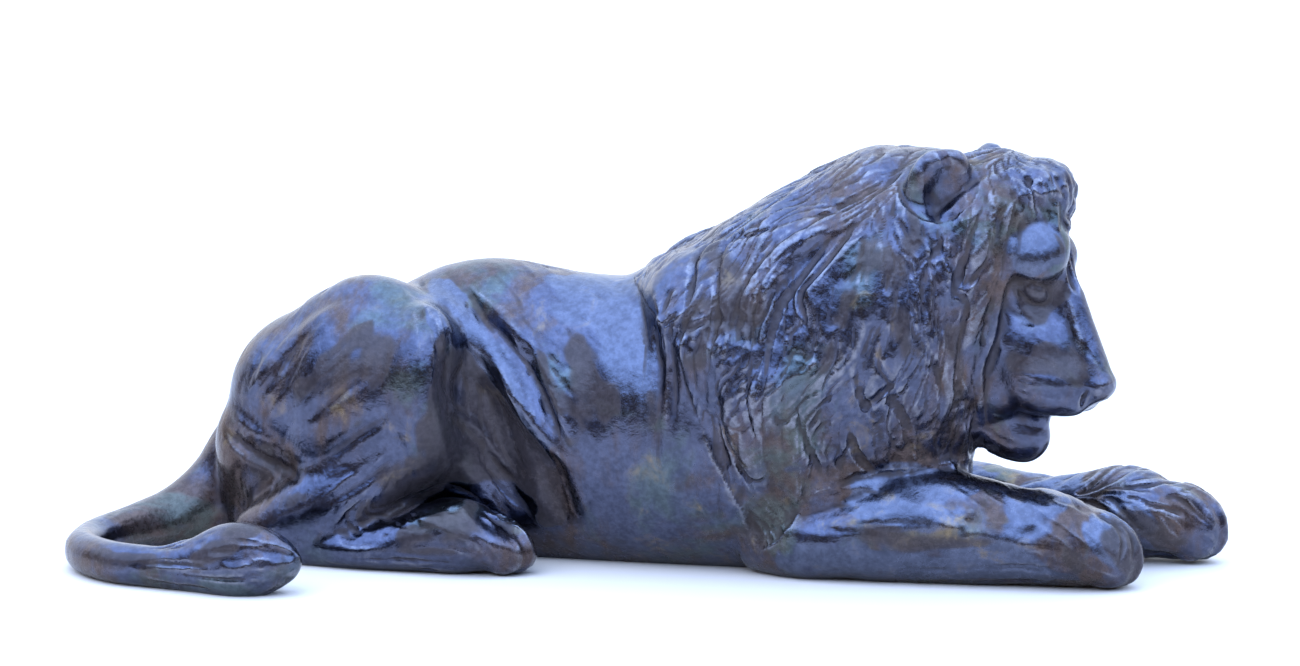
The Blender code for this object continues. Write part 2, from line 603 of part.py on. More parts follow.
def make_lion():
    """The whole figure as one closed solid that sits flat on Z = 0."""
    masses = fuse("masses", [trunk()] + haunch(1, 1) + haunch(-1, 0.86) + mane(), COARSE_CLAY, 8)
    face = fuse("face", skull(), FACE_CLAY, 5)
    shape_face_masses(face)
    lion = fuse("lion", [masses, face] + hind_feet() + tail() + forelegs() + head() + eyes(), FINE_CLAY, 3)
    shape_body(lion)
    shape_ears(lion)
    hair = locks(lion, count=230, length=20, width=6.6, proud=1.9, seed=4)
    hair += locks(lion, count=46, length=8, width=3.6, proud=1.5, seed=5, grows=grows_on_crown,
                  flow=flow_on_head)
    lion = thin(fuse("lion", [lion] + hair, FINE_CLAY, 2))
    seat(lion)
    lion.data.materials.append(bronze())
    return lion


def main():
    for obj in list(bpy.data.objects):
        bpy.data.objects.remove(obj)
    lion = make_lion()
    sculpture = bpy.data.collections.new("lying lion")
    bpy.context.scene.collection.children.link(sculpture)
    sculpture.objects.link(lion)
    bpy.context.scene.collection.objects.unlink(lion)


main()
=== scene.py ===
"""The lying lion in cast bronze, on a pale studio floor.

The beast is sculpted from the same sizes as its model, in the same sculptor's centimetres, at a finer grain:
the strands of its mane, the strokes of its coat, its face and toes, and the patina over them.
"""

import math

import bmesh
import bpy
import numpy as np
from mathutils import Euler, Matrix, Vector
from mathutils.bvhtree import BVHTree
from mathutils.kdtree import KDTree
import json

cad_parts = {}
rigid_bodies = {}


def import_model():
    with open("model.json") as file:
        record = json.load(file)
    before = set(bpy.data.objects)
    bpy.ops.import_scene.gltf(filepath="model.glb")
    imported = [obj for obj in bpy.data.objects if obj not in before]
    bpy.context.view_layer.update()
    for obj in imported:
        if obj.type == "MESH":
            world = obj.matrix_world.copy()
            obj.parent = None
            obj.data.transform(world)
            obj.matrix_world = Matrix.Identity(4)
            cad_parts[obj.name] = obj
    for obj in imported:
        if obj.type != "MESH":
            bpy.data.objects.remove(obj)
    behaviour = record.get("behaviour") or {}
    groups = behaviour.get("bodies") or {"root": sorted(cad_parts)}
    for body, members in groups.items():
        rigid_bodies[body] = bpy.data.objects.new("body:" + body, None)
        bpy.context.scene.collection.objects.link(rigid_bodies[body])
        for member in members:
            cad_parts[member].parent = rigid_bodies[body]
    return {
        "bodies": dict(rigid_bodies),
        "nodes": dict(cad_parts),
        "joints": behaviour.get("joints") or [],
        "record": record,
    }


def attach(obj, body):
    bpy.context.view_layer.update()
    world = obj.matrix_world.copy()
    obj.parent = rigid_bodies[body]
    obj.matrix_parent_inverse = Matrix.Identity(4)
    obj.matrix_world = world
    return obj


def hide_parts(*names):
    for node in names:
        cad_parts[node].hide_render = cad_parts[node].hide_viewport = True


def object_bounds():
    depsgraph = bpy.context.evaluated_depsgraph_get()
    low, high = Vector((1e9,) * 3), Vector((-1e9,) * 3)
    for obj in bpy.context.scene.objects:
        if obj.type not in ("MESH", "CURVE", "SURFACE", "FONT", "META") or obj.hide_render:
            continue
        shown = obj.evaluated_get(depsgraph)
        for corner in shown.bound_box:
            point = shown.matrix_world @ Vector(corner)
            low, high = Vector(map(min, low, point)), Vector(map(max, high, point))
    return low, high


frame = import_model()
CAD_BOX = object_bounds()

# Driving sizes, in metres
LENGTH = 2.0  # from the bend of the tail to the far forepaw

CM = LENGTH / 200
COARSE_CLAY = 1.2  # spacing of the skin over the big masses, in centimetres
FINE_CLAY = 0.6  # spacing of the skin over the whole beast before its hair, in centimetres
SKIN = 0.35  # spacing of the finished skin, in centimetres

# Points are in centimetres, x ahead, y to the lion's left and z up from the floor.
# The head's own frame: the point between the eyes, and how the head turns from straight ahead
HEAD_AT = (70.7, -6.5, 50.7)
HEAD_YAW, HEAD_PITCH, HEAD_ROLL = -16.0, 30.0, 0.0


def frame_at(place, degrees):
    """From a frame that stands at place, turned by so many degrees about x, y and z, to the one around it."""
    return Matrix.Translation(place) @ Euler([math.radians(a) for a in degrees]).to_matrix().to_4x4()


# The model's own frame, and the head's, with x along the muzzle and z up
BODY = Matrix.Identity(4)
HEAD = frame_at(HEAD_AT, (HEAD_ROLL, HEAD_PITCH, HEAD_YAW))


def carried(points, frame):
    """The points of a frame in the one around it: turned with the frame, then moved with it."""
    turn = np.array(frame)
    return points @ turn[:3, :3].T + turn[:3, 3]


def in_head(points):
    """Points of the model's centimetres in the head's own frame."""
    return carried(points, HEAD.inverted())


def from_head(ways):
    """Directions of the head's frame in the model's."""
    return ways @ np.array(HEAD)[:3, :3].T


def unit(vectors):
    """Each vector divided by its length."""
    return vectors / np.maximum(np.linalg.norm(vectors, axis=-1, keepdims=True), 1e-9)


def along_skin(way, normals):
    """The way laid flat on the skin: without its part along the normal, and with a length of 1."""
    return unit(way - normals * (way * normals).sum(axis=1, keepdims=True))


def soft(value, low, high):
    """From 0 at low to 1 at high, easing in and out as three times t squared less twice t cubed."""
    t = np.clip((value - low) / (high - low), 0, 1)
    return t * t * (3 - 2 * t)


def smooth_rows(rows, between):
    """A Catmull-Rom curve through the rows of numbers, with some rows added between each two."""
    rows = np.asarray(rows, float)
    ends = np.vstack([2 * rows[0] - rows[1], rows, 2 * rows[-1] - rows[-2]])
    made = []
    for a, b, c, d in zip(ends, ends[1:], ends[2:], ends[3:]):
        for t in np.arange(between) / between:
            made.append(0.5 * (2 * b + (c - a) * t + (2 * a - 5 * b + 4 * c - d) * t**2
                               + (3 * b - a - 3 * c + d) * t**3))
    return np.array(made + [rows[-1]])


def placed(name, data):
    """A new object in the scene, unmoved."""
    made = bpy.data.objects.new(name, data)
    bpy.context.scene.collection.objects.link(made)
    return made


def new_object(name, mesh, frame=BODY):
    """An object from a mesh in the frame's centimetres."""
    mesh.transform(Matrix.Scale(CM, 4) @ frame)
    return placed(name, mesh)


def mesh_of(name, clay):
    """The clay as a new mesh. The clay is let go."""
    mesh = bpy.data.meshes.new(name)
    clay.to_mesh(mesh)
    clay.free()
    return mesh


def ball(name, centre, radii, turn=(0, 0, 0), frame=BODY):
    """An ellipsoid, for a muscle or a pad. turn is in degrees about x, y and z."""
    lump = bmesh.new()
    bmesh.ops.create_uvsphere(lump, u_segments=48, v_segments=24, radius=1,
                              matrix=frame_at(centre, turn) @ Matrix.Diagonal((*radii, 1)))
    return new_object(name, mesh_of(name, lump), frame)


def skin_over(name, rings, first, last, frame=BODY):
    """A closed form over the rings, each a row of points, with its ends drawn to the first and last point."""
    count, around = rings.shape[:2]
    points = np.vstack([rings.reshape(-1, 3), first, last])
    index = np.arange(count * around).reshape(count, around)
    turned = np.roll(index, -1, axis=1)
    walls = np.stack([index[:-1], turned[:-1], turned[1:], index[1:]], axis=-1).reshape(-1, 4)
    start, end = count * around, count * around + 1
    caps = [(start, b, a) for a, b in zip(index[0].tolist(), turned[0].tolist())]
    caps += [(end, a, b) for a, b in zip(index[-1].tolist(), turned[-1].tolist())]
    mesh = bpy.data.meshes.new(name)
    mesh.from_pydata(points.tolist(), [], walls.tolist() + caps)
    return new_object(name, mesh, frame)


def rings_round(path, side, up, half_width, half_height, around):
    """An oval ring of points round each point of the path, as an angle goes once round.

    A point stands off the path by half_width times the cosine of the angle along side, and by half_height
    times its sine along up."""
    angle = np.linspace(0, math.tau, around, endpoint=False)
    return (path[:, None] + side[:, None] * (half_width[:, None] * np.cos(angle))[..., None]
            + up[:, None] * (half_height[:, None] * np.sin(angle))[..., None])


def sweep(name, rows, upright=False, frame=BODY, around=40, between=8):
    """A rounded form along a path. Each row is x, y, z, half the width and half the height there.

    Its rings stand square to the path, or square to x if upright is true."""
    rows = smooth_rows(rows, between)
    path = rows[:, :3]
    along = np.gradient(path, axis=0)
    if upright:
        along = np.tile((1.0, 0.0, 0.0), (len(rows), 1))
    along = unit(along)
    side = unit(np.cross((0.0, 0.0, 1.0), along))
    rings = rings_round(path, side, np.cross(along, side), rows[:, 3], rows[:, 4], around)
    return skin_over(name, rings, path[0], path[-1], frame)


def slab(name, rows):
    """A sweep whose rows are x, y, top, bottom and half the width, with upright rings."""
    return sweep(name, [(x, y, (top + low) / 2, half, (top - low) / 2) for x, y, top, low, half in rows],
                 upright=True)


def mirrored(side, frame=BODY):
    """The frame itself if side is 1, or mirrored in y if it is -1."""
    return frame @ Matrix.Scale(side, 4, (0, 1, 0))


def both_sides(make, name, *form, frame=BODY, **more):
    """The same form on the right flank, as given, and on the left one, mirrored in y."""
    return [make(name, *form, frame=mirrored(side, frame), **more) for side in (1, -1)]


def evaluated(obj, name):
    """A new object with the modifiers of obj applied. obj is removed."""
    graph = bpy.context.evaluated_depsgraph_get()
    mesh = bpy.data.meshes.new_from_object(obj.evaluated_get(graph))
    bpy.data.objects.remove(obj)
    return placed(name, mesh)


def fuse(name, pieces, spacing, rounds):
    """The pieces run together as clay: remeshed as one skin, then smoothed."""
    clay = bmesh.new()
    for piece in pieces:
        clay.from_mesh(piece.data)
        bpy.data.objects.remove(piece)
    bmesh.ops.recalc_face_normals(clay, faces=clay.faces)
    made = placed(name, mesh_of(name, clay))
    remesh = made.modifiers.new("skin", "REMESH")
    remesh.mode = "VOXEL"
    remesh.voxel_size = spacing * CM
    soften = made.modifiers.new("soften", "SMOOTH")
    soften.factor = 0.5
    soften.iterations = rounds
    return evaluated(made, name)


def rounded(obj):
    """Its faces cut in four and drawn to the smooth surface between them."""
    finer = obj.modifiers.new("finer", "SUBSURF")
    finer.levels = finer.render_levels = 1
    return evaluated(obj, obj.name)


def vectors_of(collection, name):
    """What each member of a mesh's collection holds under name, as rows of three."""
    read = np.empty(len(collection) * 3)
    collection.foreach_get(name, read)
    return read.reshape(-1, 3)


def points_of(obj):
    """The points of the skin, in centimetres, and the normals there."""
    return vectors_of(obj.data.vertices, "co") / CM, vectors_of(obj.data.vertex_normals, "vector")


def move_skin(obj, points):
    """Puts the points of the skin where points says, in centimetres."""
    obj.data.vertices.foreach_set("co", (points * CM).ravel())
    obj.data.update()


def distance_to(points, path):
    """The distance of each point from the path, and how far along the path its foot lies, from 0 to 1."""
    path = np.asarray(path, float)
    lengths = np.maximum(np.linalg.norm(np.diff(path, axis=0), axis=1), 1e-6)
    nearest = np.full(len(points), np.inf)
    share = np.zeros(len(points))
    before = 0.0
    for start, step, length in zip(path, np.diff(path, axis=0), lengths):
        t = np.clip((points - start) @ step / length**2, 0, 1)
        away = np.linalg.norm(points - start - t[:, None] * step, axis=1)
        closer = away < nearest
        nearest = np.where(closer, away, nearest)
        share = np.where(closer, (before + t * length) / lengths.sum(), share)
        before += length
    return nearest, share


def carve(obj, strokes, frame=BODY, sides=(-1, 1)):
    """Pushes the skin in or out along strokes, each (path, half its width, height).

    A path of (x, z) points is drawn on the flank seen from the side, and one of (x, y, z)
    points is drawn in space with y on the right flank. Each stroke is made on each side asked for.
    With t the distance from the path over half the width, the push is the height times the square of
    1 less t squared. A stroke narrows and eases away at both ends."""
    points, normals = points_of(obj)
    points = carried(points, frame.inverted())
    normals = normals @ np.array(frame)[:3, :3]
    push = np.zeros(len(points))
    for side in sides:
        facing = np.clip(side * normals[:, 1] * 2 + 0.2, 0, 1) * (side * points[:, 1] > 0)
        for path, half, height in strokes:
            flat = len(path[0]) == 2
            path = np.asarray(path, float)
            if not flat:
                path = path * (1, -side, 1)
            if len(path) > 2:
                path = smooth_rows(path, 4)
            where = points[:, (0, 2)] if flat else points
            near = ((where > path.min(axis=0) - half) & (where < path.max(axis=0) + half)).all(axis=1)
            away, share = distance_to(where[near], path)
            ends = soft(np.minimum(share, 1 - share), -0.04, 0.3) if len(path) > 2 else 1
            bell = np.clip(1 - (away / (half * (0.4 + 0.6 * ends))) ** 2, 0, 1) ** 2
            push[near] += height * bell * ends * (facing[near] if flat else 1)
    move_skin(obj, carried(points + normals * push[:, None], frame))


def trunk():
    """Rump, belly and chest. Rows: x, y, top, bottom and half the width."""
    return slab("trunk", [
        (-78, 0, 19, 4, 8), (-73, 0, 27, -2, 13), (-67, 0, 34, -2, 16), (-60, 0, 39, -2, 18),
        (-52, 0, 43, -2, 19), (-44, 0, 47.4, -2, 18), (-38, 0, 50.4, -2, 17.5), (-31, 0, 52, -2, 17),
        (-24, 0, 52, -2, 17), (-14, 0, 50.3, -2, 18), (-5, 0, 49.6, -2, 19.5), (5, 0, 50, -2, 20.5),
        (15, 0, 52, -2, 21.5), (25, 0, 52, -2, 21.5), (35, 0, 48, -2, 20), (43, -1, 42, -2, 16),
        (49, -1, 34, 3, 12)])


def haunch(side, lift):
    """Pelvis, thigh, knee and shank of one side; lift is how high the hip is carried, as a share."""
    frame = BODY @ Matrix.Diagonal((1, side, lift, 1))
    return [ball("rump", (-56.5, -7.5, 28), (18, 14, 16), (0, -8, 0), frame),
            sweep("pelvis", [
                (-73, -7, 17.5, 4.6, 5.6), (-66.4, -8.6, 28, 5.6, 6.4), (-61.6, -9.4, 34.2, 6.2, 6.6),
                (-57, -10, 38.4, 6.8, 6.9), (-52, -10.6, 41.7, 7.2, 7), (-47.5, -11, 43.4, 7.4, 6.8),
                (-41.5, -12, 42.2, 6.8, 6.2), (-36, -14, 38, 5.4, 6.4)], frame=frame),
            ball("thigh", (-46.5, -13, 27), (16.5, 13, 21), (0, 0, 6), frame),
            ball("seat", (-65, -9, 19), (12, 10, 12), (0, -20, 0), frame),
            ball("knee", (-36.4, -17.3, 30), (8.4, 8.8, 16.5), (0, 0, 0), frame),
            sweep("shank", [
                (-38, -18, 25, 6, 7), (-48, -18.5, 14, 8, 8), (-58, -19, 8, 7, 7), (-66, -19, 5, 5, 5),
                (-69, -18.8, 4.6, 3.8, 4), (-70.6, -18.6, 4.4, 1.8, 2)], frame=frame)]


def paw(tip, across, wide, high, frame=BODY):
    """Four toes side by side, each with its knuckle, on a foot that ends at x = tip."""
    made = []
    for k, back in ((-1.5, 1.8), (-0.5, 0), (0.5, 0.2), (1.5, 2)):
        y = across + k * wide / 2
        toe = [(tip - 12 - back, y * 0.6 + across * 0.4, high * 0.98, wide * 0.3, high * 0.42),
               (tip - 8 - back, y, high * 0.98, wide * 0.35, high * 0.6),
               (tip - 4.2 - back, y, high * 0.62, wide * 0.37, high * 0.62),
               (tip - 1.6 - back, y, high * 0.44, wide * 0.31, high * 0.46),
               (tip - back, y, high * 0.36, wide * 0.14, high * 0.2)]
        made.append(sweep("toe", toe, frame=frame, around=24, between=5))
    return made


def hind_feet():
    """The lower hind legs and their paws. Rows: x, y, z, half the width and half the height."""
    feet = both_sides(sweep, "hind_foot", [
        (-65.4, -18.6, 3.2, 2, 2.4), (-62, -19, 3.4, 4, 4), (-54, -20, 3.6, 5, 4.2),
        (-46.5, -21, 3.6, 5.6, 4), (-40, -21.5, 4.6, 6, 5), (-34, -22, 6, 6.6, 6.3),
        (-29, -22, 6.3, 7, 6.6), (-24.5, -22, 5.6, 6.4, 5.6), (-20.5, -22, 4.4, 5, 4.2),
        (-18.6, -22, 4, 3.4, 3)])
    for side in (1, -1):
        feet += paw(-15.2, -22, 3.7, 7.2, mirrored(side))
    return feet


# The tail from its root to the tip of its tuft: x, y, z, half the width and half the height
TAIL = [
    (-62, -1, 21, 10, 13.5), (-70, -1, 15.2, 9, 11), (-77.5, -2.5, 8.8, 7.2, 8.2), (-84.5, -7, 5, 5.6, 5.8),
    (-90.5, -15, 3.8, 4.4, 4.4), (-94.3, -25, 3.5, 3.7, 3.7), (-92.5, -35, 3.5, 3.5, 3.6),
    (-85, -42.5, 3.5, 3.5, 3.6), (-76, -45.3, 3.6, 3.5, 3.7), (-69, -46.3, 4.3, 4.2, 4.8),
    (-62, -47, 5.4, 5.8, 6.6), (-56.5, -47, 5.6, 5.2, 6), (-52, -46.7, 5.7, 3, 3.6),
    (-49.3, -46.7, 6, 0.8, 0.8)]


def forelegs():
    """The forelegs and their paws. Rows: x, y, z, half the width and half the height."""
    near = sweep("near_foreleg", [
        (20, -9, 6, 6, 6), (25, -10.5, 6.2, 7.6, 6.8), (30, -11.5, 6.4, 8.6, 7.4), (36, -12, 7.2, 9, 7.6),
        (42, -12, 8.2, 9.2, 9), (51, -12, 9.4, 9.2, 10), (61, -12, 8.7, 8.6, 9.2), (67, -12, 8.3, 8, 8.4),
        (71, -12, 8.2, 8.2, 8.3), (76, -12, 7.2, 8, 7.4), (80.4, -12, 6, 7.2, 6.2), (83.6, -12, 4.8, 6, 5),
        (85.8, -12, 4.2, 4.4, 4)])
    far = sweep("far_foreleg", [
        (17.6, 11.4, 5.2, 2.6, 3), (20, 11.6, 5.6, 6, 5.4), (24, 12, 6, 8, 7), (36, 13, 7.4, 9, 8),
        (48, 13, 8.4, 8.8, 8.8), (58, 13, 8, 7.8, 8.2), (64, 13, 7.4, 7.2, 7.6), (71, 13, 7.2, 7.2, 7.4),
        (77, 13, 7.6, 7.8, 7.9), (83, 13, 8.4, 8.4, 8.4), (88, 13, 7.2, 7.8, 7.2),
        (92.4, 13, 5.4, 6.2, 5.4), (95.4, 13, 4.4, 4.2, 4)])
    return [near, far] + paw(87.8, -12, 4.3, 8.6) + paw(100.2, 13, 4.4, 9.2)


def mane():
    """Mane over neck, shoulders and chest. Rows: x, y, top, bottom and half the width."""
    over = slab("mane", [
        (-2.5, 0, 50.6, 47.4, 3), (2, 0, 53, 40, 13), (6, 0, 56, 31, 19), (11, 0, 58.6, 20, 22),
        (17, 0, 62.4, 9, 23.5), (24, 0, 66.6, 2, 24.5), (32, 0, 70.4, 6, 24.5), (40, -1, 73, 11, 24),
        (48, -2, 73.6, 14, 21.5), (54, -3, 73.4, 17, 17.5), (58, -4, 72, 20, 12)])
    bib = ball("bib", (48, -3, 20), (9.5, 13, 20), (0, 0, -8))
    return [over, bib]


def skull():
    """The head's masses: cranium, forehead, nose bridge, cheeks, whisker pads and jaw."""
    made = [ball("crown", (-15, 0, 3.6), (12.5, 12.6, 13), frame=HEAD),
            ball("forelock", (-9.8, 0, 10.4), (6.4, 8.8, 8.4), frame=HEAD),
            ball("forehead", (-7, 0, 3.2), (6.2, 8, 7.2), frame=HEAD),
            sweep("bridge", [
                (-9, 0, 2, 6, 6.2), (-3, 0, 1, 4.6, 6), (2, 0, -1.9, 4, 5.8), (7, 0, -5.2, 4, 5.2),
                (12, 0, -8.6, 4.3, 4.8), (15.6, 0, -10.4, 4.1, 4), (18, 0, -11.2, 2.6, 2.6)], frame=HEAD),
            sweep("jowls", [
                (-16, 0, -6, 11.5, 13), (-9, 0, -8.4, 10.8, 13.4), (-2, 0, -11, 9.2, 10.6),
                (5, 0, -12.6, 7.4, 7.4), (10.5, 0, -13.2, 5.6, 5.2), (15.4, 0, -13.2, 3.4, 3)], frame=HEAD),
            sweep("jaw", [
                (-8, 0, -20, 8.4, 8.6), (-3, 0, -22.8, 7.4, 7.2), (2, 0, -24.8, 6.6, 6.2),
                (6.4, 0, -25, 5.8, 5.8), (10, 0, -24.6, 4.9, 5), (12.4, 0, -24, 3.4, 3.8),
                (14, 0, -23.6, 1.2, 1.4)], frame=HEAD)]
    for name, centre, radii, pitch in (("cheek", (3, -3.7, -11.4), (10, 5.6, 8.4), 24),
                                       ("temple", (-8, -6.8, -0.6), (5, 4.4, 9), 0),
                                       ("whisker_pad", (8, -4.2, -13.6), (8, 5.8, 6.2), -10),
                                       ("upper_lip", (12.6, -2.8, -13.2), (4.8, 4, 4), 10),
                                       ("lip_fold", (2.8, -4.8, -18.2), (5.2, 4.2, 5.8), -8)):
        made += both_sides(ball, name, centre, radii, (0, pitch, 0), frame=HEAD)
    made.append(ball("brow", (-4.6, -4.3, 5.2), (6.6, 7.4, 5.2), (38, -16, 16), frame=HEAD))
    made.append(ball("far_brow", (-3.4, 3.8, 3.2), (5, 4.4, 5), (0, -20, -20), frame=HEAD))
    made += both_sides(sweep, "ruff", [
        (-17, -9, 6, 5, 6), (-11.4, -10.4, -2, 5, 6.4), (-7.6, -10.4, -10, 5, 6.2), (-4.6, -9, -18, 4.6, 6),
        (-2.4, -6.4, -26, 4.6, 5)], frame=HEAD)
    return made


EARS = ((-22, -12.4, 7.6), (-23, 12.4, 5.4))
EAR_CLEAR = 7  # how far from an ear's middle hair is rooted
EAR_REACH = 13  # how far from an ear's middle hair is turned aside


def head():
    """Nose, lower lip and ears, set on the skull."""
    made = [ball("nose", (16.6, 0, -9.8), (2.5, 4.2, 3), (0, 15, 0), frame=HEAD),
            ball("lip", (8.8, 0, -20.8), (3.4, 3.8, 1.6), (0, -22, 0), frame=HEAD)]
    for place in EARS:
        made.append(ball("ear", place, (2.6, 5.6, 7), (0, -10, math.copysign(55, place[1])), frame=HEAD))
    return made


def eyes():
    """The eyeballs, which stand a little out of their sockets."""
    return both_sides(ball, "eye", (-0.5, -5, -0.5), (2.7, 2.2, 1.8), (0, 14, 22), frame=HEAD)


# Folds of the flank between haunch and mane, and the muscles of thigh and foreleg, on the flank's (x, z):
# path, half the width, height
FLANK_FOLDS = [
    ([(-39, 48.4), (-31.6, 43.1), (-26, 35.6), (-19.2, 27.9), (-13.9, 22.2), (-8.6, 17.6)], 3.6, 1.7),
    ([(-30.6, 49), (-23.1, 43.7), (-18.1, 38), (-14.1, 31.4), (-11, 25.8), (-8.2, 19.6)], 2.2, 1.0),
    ([(-34.5, 48.5), (-28.1, 44), (-21.8, 38.9), (-17.6, 34), (-14.2, 28.5), (-11, 22.4)], 1.0, -0.6),
    ([(-20.4, 41.4), (-17.4, 36), (-14.7, 29.8), (-12.5, 24)], 2.4, -1.1),
    ([(-12, 44), (-9, 38), (-6, 31), (-4.4, 23)], 4.2, -0.6),
    ([(-30.6, 44), (-27.6, 33), (-24.8, 22), (-21, 12), (-16.4, 6)], 6.4, -3.6),
    ([(-25, 33), (-19, 22), (-13.4, 13), (-9, 7)], 5, -1.1),
    ([(-30.2, 31.6), (-27.2, 24.4), (-24, 18), (-20.4, 13)], 0.9, 1.0),
    ([(1.6, 51), (4.4, 43.7), (5.6, 36), (5.6, 24), (6, 14)], 1.2, -0.45),
    ([(5.4, 51), (8, 42.5), (8.6, 34), (8.2, 24)], 1.2, -0.6),
    ([(3.4, 51), (6.4, 43), (7.4, 34), (7, 24)], 1.1, 0.5),
    ([(-1.4, 50.6), (1.4, 45), (2.6, 38), (2.4, 30)], 1.0, -0.35),
    ([(-42, 49.4), (-37.6, 46.6), (-34, 42.6)], 0.9, -0.7),
    ([(-37, 50.6), (-30.6, 47.2), (-25.4, 42.6)], 0.8, -0.5),
    ([(-28, 51), (-23, 47.8), (-19, 43.4)], 0.9, -0.6),
]
THIGH = [
    ([(-74, 23.4), (-68.6, 19.6), (-62, 16.4), (-56.6, 14.8)], 1.6, -1.2),
    ([(-73, 26.4), (-67.6, 23), (-61.4, 20), (-56, 18.4)], 2.2, 0.7),
    ([(-40, 28), (-46.6, 23.6), (-54, 18.6)], 1.7, -0.7),
    ([(-38.6, 20.6), (-45, 16), (-52, 11.4)], 1.5, -0.6),
    ([(-43.4, 35.4), (-50, 30.4), (-57, 25)], 1.8, -0.5),
    ([(-47.6, 46.6), (-54.6, 42.4), (-62, 36.4), (-68.6, 28)], 2.4, 0.7),
    ([(-34.6, 12.6), (-40, 10.2), (-46, 9)], 1.8, -0.5),
    ([(-52, 44.6), (-58, 38.6), (-63.4, 31.4)], 1.1, -0.5),
]
FORELEG = [
    ([(33, 15.4), (42, 18.4), (52, 19.6)], 1.4, -0.9),
    ([(62, 17), (60.6, 12.6), (57, 9)], 1.4, -0.4),
    ([(73, 15), (71.4, 12), (68, 9)], 1.2, -0.35),
    ([(46, 17), (53, 15.6), (60, 11.6)], 2.6, -0.5),
    ([(50, 13), (60, 10), (70, 7.6), (78, 6.4)], 2.4, 0.4),
]


FURROW = (0.9, -0.6)  # half the width, and the height where the depth is 1
RIDGE = (2.4, 0.45)  # the same for the ridge beside the furrow
RIDGE_AHEAD = (2.2, 0.5)  # how far ahead of its furrow and above it a ridge runs
# The mane's main sweeps, each a furrow with a long ridge ahead of it, on the flank's (x, z): path, depth
SWEEPS = [
    ([(42.7, 74.3), (27.8, 68.6), (16.9, 62.3), (8.2, 53.9)], 0.7),
    ([(26.8, 66.4), (17.7, 59.1), (12.2, 56.4), (10.9, 50.7), (10.4, 44.4)], 1.1),
    ([(29.4, 61.9), (21.7, 58.7), (16.5, 56.9), (15.7, 51.7), (16.1, 44.1), (15.2, 36.8)], 1),
    ([(46.3, 70.2), (37, 65), (29.4, 59.7), (23.4, 55.3), (19.5, 47.6), (18.3, 39)], 0.8),
    ([(36.5, 61.6), (31.1, 53.8), (26.9, 47.8), (25.2, 39.2), (24.7, 24.3)], 0.5),
    ([(39.6, 63.8), (37.9, 59.6), (33.7, 53.9), (30.6, 50.1), (31.5, 46.2), (32.9, 41.6)], 0.9),
    ([(16.6, 32.9), (17.8, 26.1), (20.1, 20.7), (22.7, 14.7)], 1.1),
    ([(22.6, 39.1), (22.1, 31.4), (23.9, 24.6)], 0.8),
    ([(37.1, 45.2), (37.2, 39.6), (35, 35.2), (34.7, 31.8)], 0.7),
    ([(44.8, 43.2), (44.3, 38.6), (45.7, 35.6), (46.9, 31.4), (50, 25.2)], 0.7),
    ([(40.9, 39.7), (40.6, 35.4), (41.8, 31.7), (44.1, 28.4)], 0.6),
    ([(54.3, 60.3), (51.8, 54.4), (51.9, 48.5), (52.7, 46)], 0.6),
    ([(60.9, 66), (58.1, 57.9), (56.5, 51.1), (58.2, 48.6), (56.7, 40.2), (55.4, 32.5)], 0.6),
    ([(48.5, 48.4), (51.1, 42.2), (53.7, 37.5), (54.2, 31.6), (52.6, 25.2)], 0.5),
    ([(30.4, 31.8), (31.5, 25), (34.2, 18.3)], 1),
    ([(39, 27), (40, 22.2), (42.8, 18.6)], 1),
]


# The creases round the near forepaw's toes, on the flank's (x, z)
TOES = [
    ([(79, 13.4), (82.6, 12), (84.6, 9.4), (84.6, 6.4), (83.6, 4)], 0.5, -0.4),
    ([(82.8, 12.2), (85.4, 10.2), (86.5, 7.4), (86, 4.6)], 0.4, -0.3),
    ([(72.4, 15.6), (76.4, 14.6), (80, 12.6)], 0.5, -0.35),
]


def shape_mane(lion):
    """The furrows and ridges of the main sweeps, and the creases of the near forepaw."""
    furrows = [(path, FURROW[0], FURROW[1] * depth) for path, depth in SWEEPS]
    ridges = [(np.add(path, RIDGE_AHEAD), RIDGE[0], RIDGE[1] * depth) for path, depth in SWEEPS]
    carve(lion, furrows + ridges)
    carve(lion, TOES, sides=(-1,))


def shape_body(lion):
    """The folds of the flank, and the muscles of thigh and foreleg."""
    carve(lion, FLANK_FOLDS)
    carve(lion, THIGH)
    carve(lion, FORELEG)


def shape_face_masses(face):
    """Eye sockets and the lips' parting."""
    carve(face, [([(-5, -9.6, -0.2), (-1, -8.4, -0.2), (3.4, -4.6, -0.6)], 2.6, -1.3),
                 ([(1.5, -9.4, -25.2), (5.4, -8.6, -23.6), (8, -8, -20.8), (12, -6, -18.8),
                   (15.4, -3, -17.4)], 1.3, -1.5)],
          frame=HEAD)


def shape_ears(lion):
    """The hollow of each ear."""
    for (x, y, z), side in zip(EARS, (-1, 1)):
        hollow = ((x + 2.2, -abs(y) - 2.6, z + 2), (x + 2.2, -abs(y) - 2.2, z - 1.4))
        carve(lion, [(hollow, 4.4, -2)], frame=HEAD, sides=(side,))


